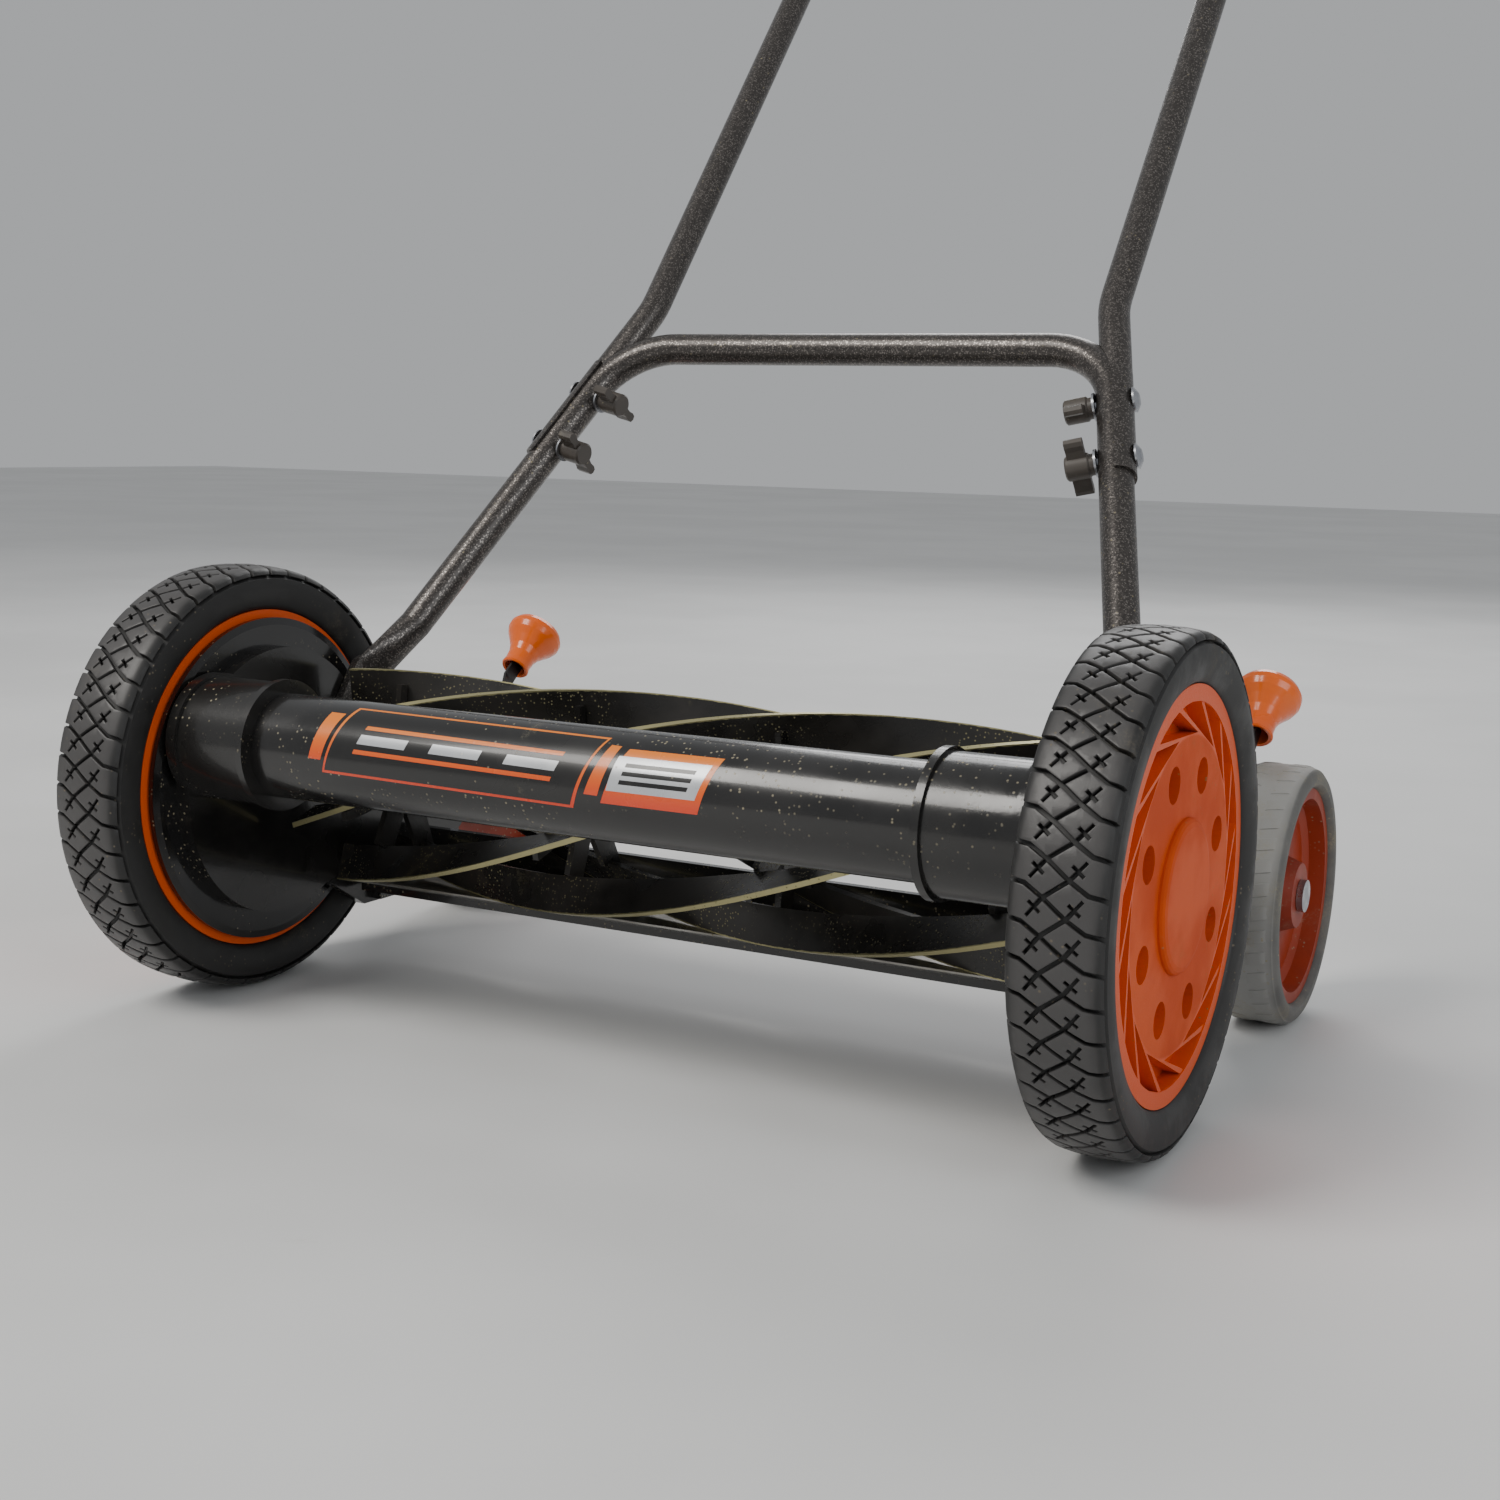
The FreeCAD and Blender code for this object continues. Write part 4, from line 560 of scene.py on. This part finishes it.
def move_in(points, gaps, more=0.0):
    """Path moved to its left, each edge by its own gap. A turn back on itself gets a square end."""
    moved = []
    for k, here in enumerate(points):
        came = (here - points[k - 1]).normalized()
        goes = (points[(k + 1) % len(points)] - here).normalized()
        gap_in, gap_out = gaps[k - 1] + more, gaps[k] + more
        left_in, left_out = Vector((-came.y, came.x)), Vector((-goes.y, goes.x))
        area = left_in.x * left_out.y - left_in.y * left_out.x
        if abs(area) < 0.02:
            if came.dot(goes) > 0:
                moved.append(here + left_in * max(gap_in, gap_out))
            else:
                moved.append(here + left_in * gap_in + came * gap_in)
                moved.append(here + left_out * gap_out + came * gap_in)
            continue
        moved.append(here + Vector(((gap_in * left_out.y - gap_out * left_in.y) / area,
                                    (left_in.x * gap_out - left_out.x * gap_in) / area)))
    return moved


def raised(path, gaps, low, high):
    """Solid block over a flat path, with a small chamfer round its top."""
    shape = bmesh.new()
    levels = [(low, 0.0), (high - ROUNDING, 0.0), (high - ROUNDING * 0.3, ROUNDING * 0.35),
              (high, ROUNDING)]
    rings = [[shape.verts.new((p.x, p.y, height)) for p in move_in(path, gaps, more)]
             for height, more in levels]
    count = len(rings[0])
    for lower, upper in zip(rings, rings[1:]):
        for k in range(count):
            shape.faces.new((lower[k], lower[(k + 1) % count], upper[(k + 1) % count], upper[k]))
    shape.faces.new(rings[-1])
    shape.faces.new(rings[0][::-1])
    shape.normal_update()
    return shape


block = raised(*block_path(), -GROOVE_DEPTH - 0.5, 0.0)
print("one block:", len(block.verts), "corners, one pitch is", round(PITCH, 2), "mm")

# %% [markdown]
# ### Wrapping a block over the tyre
# The tyre's outer section is a list of points from the middle of the crown over the shoulder to the
# bead. Walking along it by arc length gives the place and the outward direction for any *across*, so
# a flat corner (across, around, height) lands on the tyre. Long flat faces have to be cut into short
# ones first, or they'd stay straight and sink into the carcass.

# %% Section and wrap
SECTION = [(0, 120.0), (9.5, 119.6), (15.5, 118.9), (18.4, 118.2), (19.9, 117.2), (21.0, 115.4),
           (21.7, 112.0), (22.0, 107.75), (21.5, 103.25), (20.0, 98.25), (18.6, 95.65)]


def on_section(across):
    """Place and outward direction on the section, as (x, radius) pairs, for an arc length."""
    left = abs(across)
    for (x0, r0), (x1, r1) in zip(SECTION, SECTION[1:]):
        length = math.hypot(x1 - x0, r1 - r0)
        if left <= length or (x1, r1) == SECTION[-1]:
            share = left / length
            point = Vector((x0 + (x1 - x0) * share, r0 + (r1 - r0) * share))
            out = Vector((r0 - r1, x1 - x0)) / length
            break
        left -= length
    if across < 0:
        point.x, out.x = -point.x, -out.x
    return point, out


def wrap(shape, centre):
    """Flat corners (across, around, height) in mm become corners on the tyre, in metres."""
    for corner in shape.verts:
        across, around, height = corner.co
        point, out = on_section(across)
        spot = point + out * height
        turn = around / CROWN
        corner.co = (centre.x + spot.x * MM, centre.y - spot.y * MM * math.cos(turn),
                     centre.z + spot.y * MM * math.sin(turn))


def slice_up(shape, step_across, step_around):
    """Cut a flat solid along a grid so that it can bend."""
    bmesh.ops.triangulate(shape, faces=shape.faces)
    for axis, step in ((0, step_across), (1, step_around)):
        low = min(v.co[axis] for v in shape.verts)
        high = max(v.co[axis] for v in shape.verts)
        for k in range(math.ceil(low / step), math.floor(high / step) + 1):
            spot, normal = Vector((0, 0, 0)), Vector((0, 0, 0))
            spot[axis], normal[axis] = k * step, 1
            bmesh.ops.bisect_plane(shape, geom=shape.verts[:] + shape.edges[:] + shape.faces[:], dist=1e-5,
                                   plane_co=spot, plane_no=normal)


slice_up(block, 3.5, 5.2)
flat = bpy.data.meshes.new("flat_block")
block.to_mesh(flat)
block.free()


def tread_pair(centre):
    """Mesh of one pair of blocks in place: the drawn block and the same one turned half round."""
    pair = bmesh.new()
    pair.from_mesh(flat)
    half = bmesh.new()
    half.from_mesh(flat)
    half.transform(Matrix.Translation((0, -PITCH, 0)) @ Matrix.Rotation(math.pi, 4, "Z"))
    other = bpy.data.meshes.new("other_half")
    half.to_mesh(other)
    half.free()
    pair.from_mesh(other)
    bpy.data.meshes.remove(other)
    wrap(pair, centre)
    mesh = bpy.data.meshes.new("tread_pair")
    pair.to_mesh(mesh)
    pair.free()
    return mesh


print("flat block:", len(flat.polygons), "faces after slicing")

# %% [markdown]
# ### The ring of copies
# Repeating something about an axle is a job for Geometry Nodes: points stand on the axle, one for each
# copy, and each instance is turned by its index. The same tree serves the tread and the rear tyres'
# shallow marks. Its inputs are set through their identifiers before anything is evaluated.


# %% Geometry Nodes: ring of copies
def ring_tree():
    tree = bpy.data.node_groups.new("Ring of copies", "GeometryNodeTree")
    tree.interface.new_socket("Geometry", in_out="INPUT", socket_type="NodeSocketGeometry")
    for label, kind in (("Copies", "NodeSocketInt"), ("Axle", "NodeSocketVector"),
                        ("Finish", "NodeSocketMaterial")):
        tree.interface.new_socket(label, in_out="INPUT", socket_type=kind)
    tree.interface.new_socket("Geometry", in_out="OUTPUT", socket_type="NodeSocketGeometry")
    source = add(tree, "NodeGroupInput")
    back = add(tree, "ShaderNodeVectorMath", {0: source.outputs["Axle"], 1: (-1, -1, -1)},
               operation="MULTIPLY")
    piece = add(tree, "GeometryNodeTransform", {"Geometry": source.outputs["Geometry"],
                                                "Translation": back.outputs[0]})
    spots = add(tree, "GeometryNodePoints", {"Count": source.outputs["Copies"],
                                             "Position": source.outputs["Axle"]})
    index = add(tree, "GeometryNodeInputIndex").outputs[0]
    step = math_node(tree, "DIVIDE", 2 * math.pi, source.outputs["Copies"])
    turn = add(tree, "ShaderNodeCombineXYZ", {"X": math_node(tree, "MULTIPLY", index, step)})
    rotation = add(tree, "FunctionNodeEulerToRotation", {0: turn.outputs[0]})
    copies = add(tree, "GeometryNodeInstanceOnPoints", {
        "Points": spots.outputs[0], "Instance": piece.outputs[0], "Rotation": rotation.outputs[0]})
    solid = add(tree, "GeometryNodeRealizeInstances", {"Geometry": copies.outputs[0]})
    painted = add(tree, "GeometryNodeSetMaterial", {"Geometry": solid.outputs[0],
                                                    "Material": source.outputs["Finish"]})
    sink = add(tree, "NodeGroupOutput")
    tree.links.new(painted.outputs[0], sink.inputs[0])
    return tree


RING = ring_tree()


def ring(mesh, copies, centre, material):
    """Plain mesh of copies of a mesh, turned about a line along X."""
    seed = bpy.data.objects.new("ring_seed", mesh)
    bpy.context.scene.collection.objects.link(seed)
    modifier = seed.modifiers.new("Ring", "NODES")
    modifier.node_group = RING
    values = {"Copies": copies, "Axle": tuple(centre), "Finish": material}
    for item in RING.interface.items_tree:
        if item.in_out == "INPUT" and item.name in values:
            modifier[item.identifier] = values[item.name]
    seed.update_tag()
    graph = bpy.context.evaluated_depsgraph_get()
    made = bpy.data.meshes.new_from_object(seed.evaluated_get(graph))
    bpy.data.objects.remove(seed)
    return made


# %% [markdown]
# ### The carcass under the tread
# Below the blocks the tyre is one turned ring: its section runs along the groove floor, comes out at
# the shoulder to meet the smooth sidewall, and closes on the rim. Blocks and carcass are then one
# piece, as they are when the tyre leaves its mould.

# %% Front tyres
def carcass_section():
    """Closed section of the tyre under its tread."""
    floor_line = [on_section(across)[0] + on_section(across)[1] * -GROOVE_DEPTH
                  for across in (0, 4, 8, 12, 15.5, 18.4)]
    side = [(20.0, 113.6), (21.55, 112.7), (21.85, 110.5), (22.0, 107.75), (21.5, 103.25), (20.0, 98.25),
            (18.9, 96.4), (17.4, 95.5), (15.4, 95.4), (13.5, 92.5)]
    right = [(p.x, p.y) for p in floor_line] + side
    left = [(-x, r) for x, r in right[:0:-1]]
    return right + left


for word, sign in SIDES:
    hub = middle(f"front_tyre_{word}")
    pair = tread_pair(hub)
    blocks = ring(pair, PITCHES, hub, finishes["tyre_rubber"])
    tyre = bmesh.new()
    lathe(tyre, carcass_section(), hub, 144)
    bmesh.ops.recalc_face_normals(tyre, faces=tyre.faces)
    tyre.from_mesh(blocks)
    keep(f"tread_tyre_{word}", tyre, finishes["tyre_rubber"], f"wheel_{word}",
         [f"front_tyre_{word}"])

# %% [markdown]
# ## The rear tyres
# The small rollers are worn nearly smooth. What is left of their tread is a ring of shallow slanted
# dents near each edge, so the turned section stays whole and the dents show as slightly raised bars
# between them.

# %% Rear tyres
REAR_COPIES = 36
REAR_CROWN = 72.5


def rear_section():
    right = [(0, 72.0), (8, 71.9), (13, 71.5), (16.4, 70.4), (18.2, 68.0), (18.9, 65.0), (18.6, 62.4),
             (17.2, 60.9), (15.2, 60.3), (13, 60.0), (11, 58.0)]
    return right + [(-x, r) for x, r in right[:0:-1]]


def rear_bar(centre, sign):
    """One slanted bar of the worn tread, on one half of the crown."""
    bar = bmesh.new()
    slant = 2.6
    rows = []
    for k in range(7):
        across = 2.2 + k * 2.0
        lift = 0.0 if k in (0, 6) else 0.55
        base = 71.75 - max(0, across - 9) ** 2 * 0.028
        row = []
        for edge_side, height in ((-1, -0.8), (-0.8, lift), (0.8, lift), (1, -0.8)):
            around = edge_side * 4.1 + slant * (k / 6 - 0.5) + sign * 3.1
            turn = around / REAR_CROWN
            reach = min(base + height, REAR_CROWN)
            row.append(bar.verts.new((centre.x + sign * across * MM, centre.y - reach * MM * math.cos(turn),
                                      centre.z + reach * MM * math.sin(turn))))
        rows.append(row)
    for a, b in zip(rows, rows[1:]):
        for j in range(3):
            bar.faces.new((a[j], a[j + 1], b[j + 1], b[j]))
        bar.faces.new((a[3], a[0], b[0], b[3]))
    bar.faces.new(rows[0])
    bar.faces.new(rows[-1][::-1])
    bmesh.ops.recalc_face_normals(bar, faces=bar.faces)
    return bar


for word, sign in SIDES:
    hub = middle(f"rear_tyre_{word}")
    tyre = bmesh.new()
    lathe(tyre, rear_section(), hub, 96)
    bmesh.ops.recalc_face_normals(tyre, faces=tyre.faces)
    for half in (-1, 1):
        bar = rear_bar(hub, half)
        flat_bar = bpy.data.meshes.new("rear_bar")
        bar.to_mesh(flat_bar)
        bar.free()
        tyre.from_mesh(ring(flat_bar, REAR_COPIES, hub, finishes["rear_rubber"]))
    keep(f"worn_tyre_{word}", tyre, finishes["rear_rubber"], f"rear_wheel_{word}", [f"rear_tyre_{word}"])

# %% [markdown]
# ## The foam grip
# The grip is a foam sleeve pushed over the handle's crossbar. Foam has no crisp edge: its ends are
# rounded, and it swells a little between the places where hands have pressed it. The sleeve is a
# lathe with many rings whose radius is moved by noise.

# %% Foam grip
sleeve_low, sleeve_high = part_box("foam_grip")
grip_at = middle("foam_grip")
half_length = (sleeve_high[0] - sleeve_low[0]) / 2 / MM
full = (sleeve_high[2] - sleeve_low[2]) / 2 / MM
bore = full - 6.6
outer = []
for k in range(61):
    along = -half_length + 2 * half_length * k / 60
    end = half_length - abs(along)
    outer.append((along, full - 3.2 * math.exp(-end / 1.6) - 0.5))
foam = bmesh.new()
lathe(foam, outer + [(half_length - 0.6, bore), (-half_length + 0.6, bore)], grip_at, 64)
for corner in foam.verts:
    off = Vector((0, corner.co.y - grip_at.y, corner.co.z - grip_at.z))
    if off.length > (bore + 1) * MM:
        swell = noise.noise(corner.co * 38) * 0.35 + noise.noise(corner.co * 160) * 0.1
        corner.co += off.normalized() * swell * MM
sleeve = keep("foam_sleeve", foam, finishes["foam"], "handle", ["foam_grip"])

# %% [markdown]
# ## The label
# A film label is stuck around the front of the tube. Its face here is plain: slanted panels in
# orange, red, black and silver with simple stripes. Each panel is drawn flat as (along, up the
# curve) and bent onto the tube as a thin closed shell; a later layer lies slightly higher, so nothing
# flickers where they overlap.

# %% Bent panels
SKIN = (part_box("front_tube")[1][2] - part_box("front_tube")[0][2]) / 2 / MM


def panel(name, corners, layer, material):
    """Four flat corners, clockwise from top left, bent onto the tube."""
    shape = bmesh.new()
    steps = 24
    top_left, top_right, low_right, low_left = (Vector(c) for c in corners)
    grid = []
    for i in range(steps + 1):
        row = []
        for j in range(steps + 1):
            s, t = i / steps, j / steps
            row.append(top_left.lerp(top_right, s).lerp(low_left.lerp(low_right, s), t))
        grid.append(row)
    shells = []
    for lift in (0.02, 0.05 + 0.05 * layer):
        reach = (SKIN + lift) * MM
        shells.append([[shape.verts.new((TUBE.x + spot.x * MM, TUBE.y - reach * math.cos(spot.y / SKIN),
                                         TUBE.z + reach * math.sin(spot.y / SKIN))) for spot in row]
                       for row in grid])
    under, over = shells
    for i in range(steps):
        for j in range(steps):
            shape.faces.new((over[i][j], over[i][j + 1], over[i + 1][j + 1], over[i + 1][j]))
            shape.faces.new((under[i][j], under[i + 1][j], under[i + 1][j + 1], under[i][j + 1]))
    rim = [(i, 0) for i in range(steps)] + [(steps, j) for j in range(steps)]
    rim += [(i, steps) for i in range(steps, 0, -1)] + [(0, j) for j in range(steps, 0, -1)]
    for (i, j), (m, n) in zip(rim, rim[1:] + rim[:1]):
        shape.faces.new((under[i][j], under[m][n], over[m][n], over[i][j]))
    return keep(name, shape, finishes[material], "chassis")


def shrunk(corners, edge_x, edge_y):
    """The same panel with a border left free."""
    tl, tr, lr, ll = corners
    return [(tl[0] + edge_x, tl[1] - edge_y), (tr[0] - edge_x, tr[1] - edge_y),
            (lr[0] - edge_x, lr[1] + edge_y), (ll[0] + edge_x, ll[1] + edge_y)]


def part_of(corners, left, right, top, bottom):
    """Piece of a panel, given by shares across and down it."""
    tl, tr, lr, ll = (Vector(c) for c in corners)

    def spot(s, t):
        return tuple(tl.lerp(tr, s).lerp(ll.lerp(lr, s), t))
    return [spot(left, top), spot(right, top), spot(right, bottom), spot(left, bottom)]


BIG = [(-130, 33.4), (23.5, 30.7), (11, -8.2), (-140.9, -6.0)]
SMALL = [(36.7, 24.5), (87.7, 24.8), (79.2, -3.8), (26.7, -3.9)]
INNER = [(32.9, 19.9), (83.2, 20.2), (77.6, 2.6), (29.6, 2.4)]
panel("label_border", BIG, 0, "label_orange")
panel("label_face", shrunk(BIG, 1.6, 1.4), 1, "label_ink")
panel("label_tab_left", [(-143.9, 27.5), (-134.6, 27.3), (-141.6, 0.4), (-149.4, 0.6)], 0, "label_orange")
panel("label_tab_right", [(26.1, 25.8), (31.8, 25.6), (25.0, -0.6), (17.4, -0.5)], 0, "label_orange")
panel("label_small", SMALL, 0, "label_orange")
panel("label_small_face", INNER, 1, "label_silver")
for number, (left, right, top, bottom, tint) in enumerate((
        (0.10, 0.90, 0.30, 0.36, "label_orange"), (0.10, 0.90, 0.66, 0.72, "label_orange"),
        (0.10, 0.30, 0.44, 0.58, "label_silver"), (0.40, 0.60, 0.44, 0.58, "label_silver"),
        (0.70, 0.90, 0.44, 0.58, "label_silver"))):
    panel(f"label_stripe_{number + 1}", part_of(shrunk(BIG, 1.6, 1.4), left, right, top, bottom), 2, tint)
for number in range(3):
    panel(f"label_small_stripe_{number + 1}",
          part_of(INNER, 0.12, 0.88, 0.2 + 0.24 * number, 0.32 + 0.24 * number), 2, "label_ink")
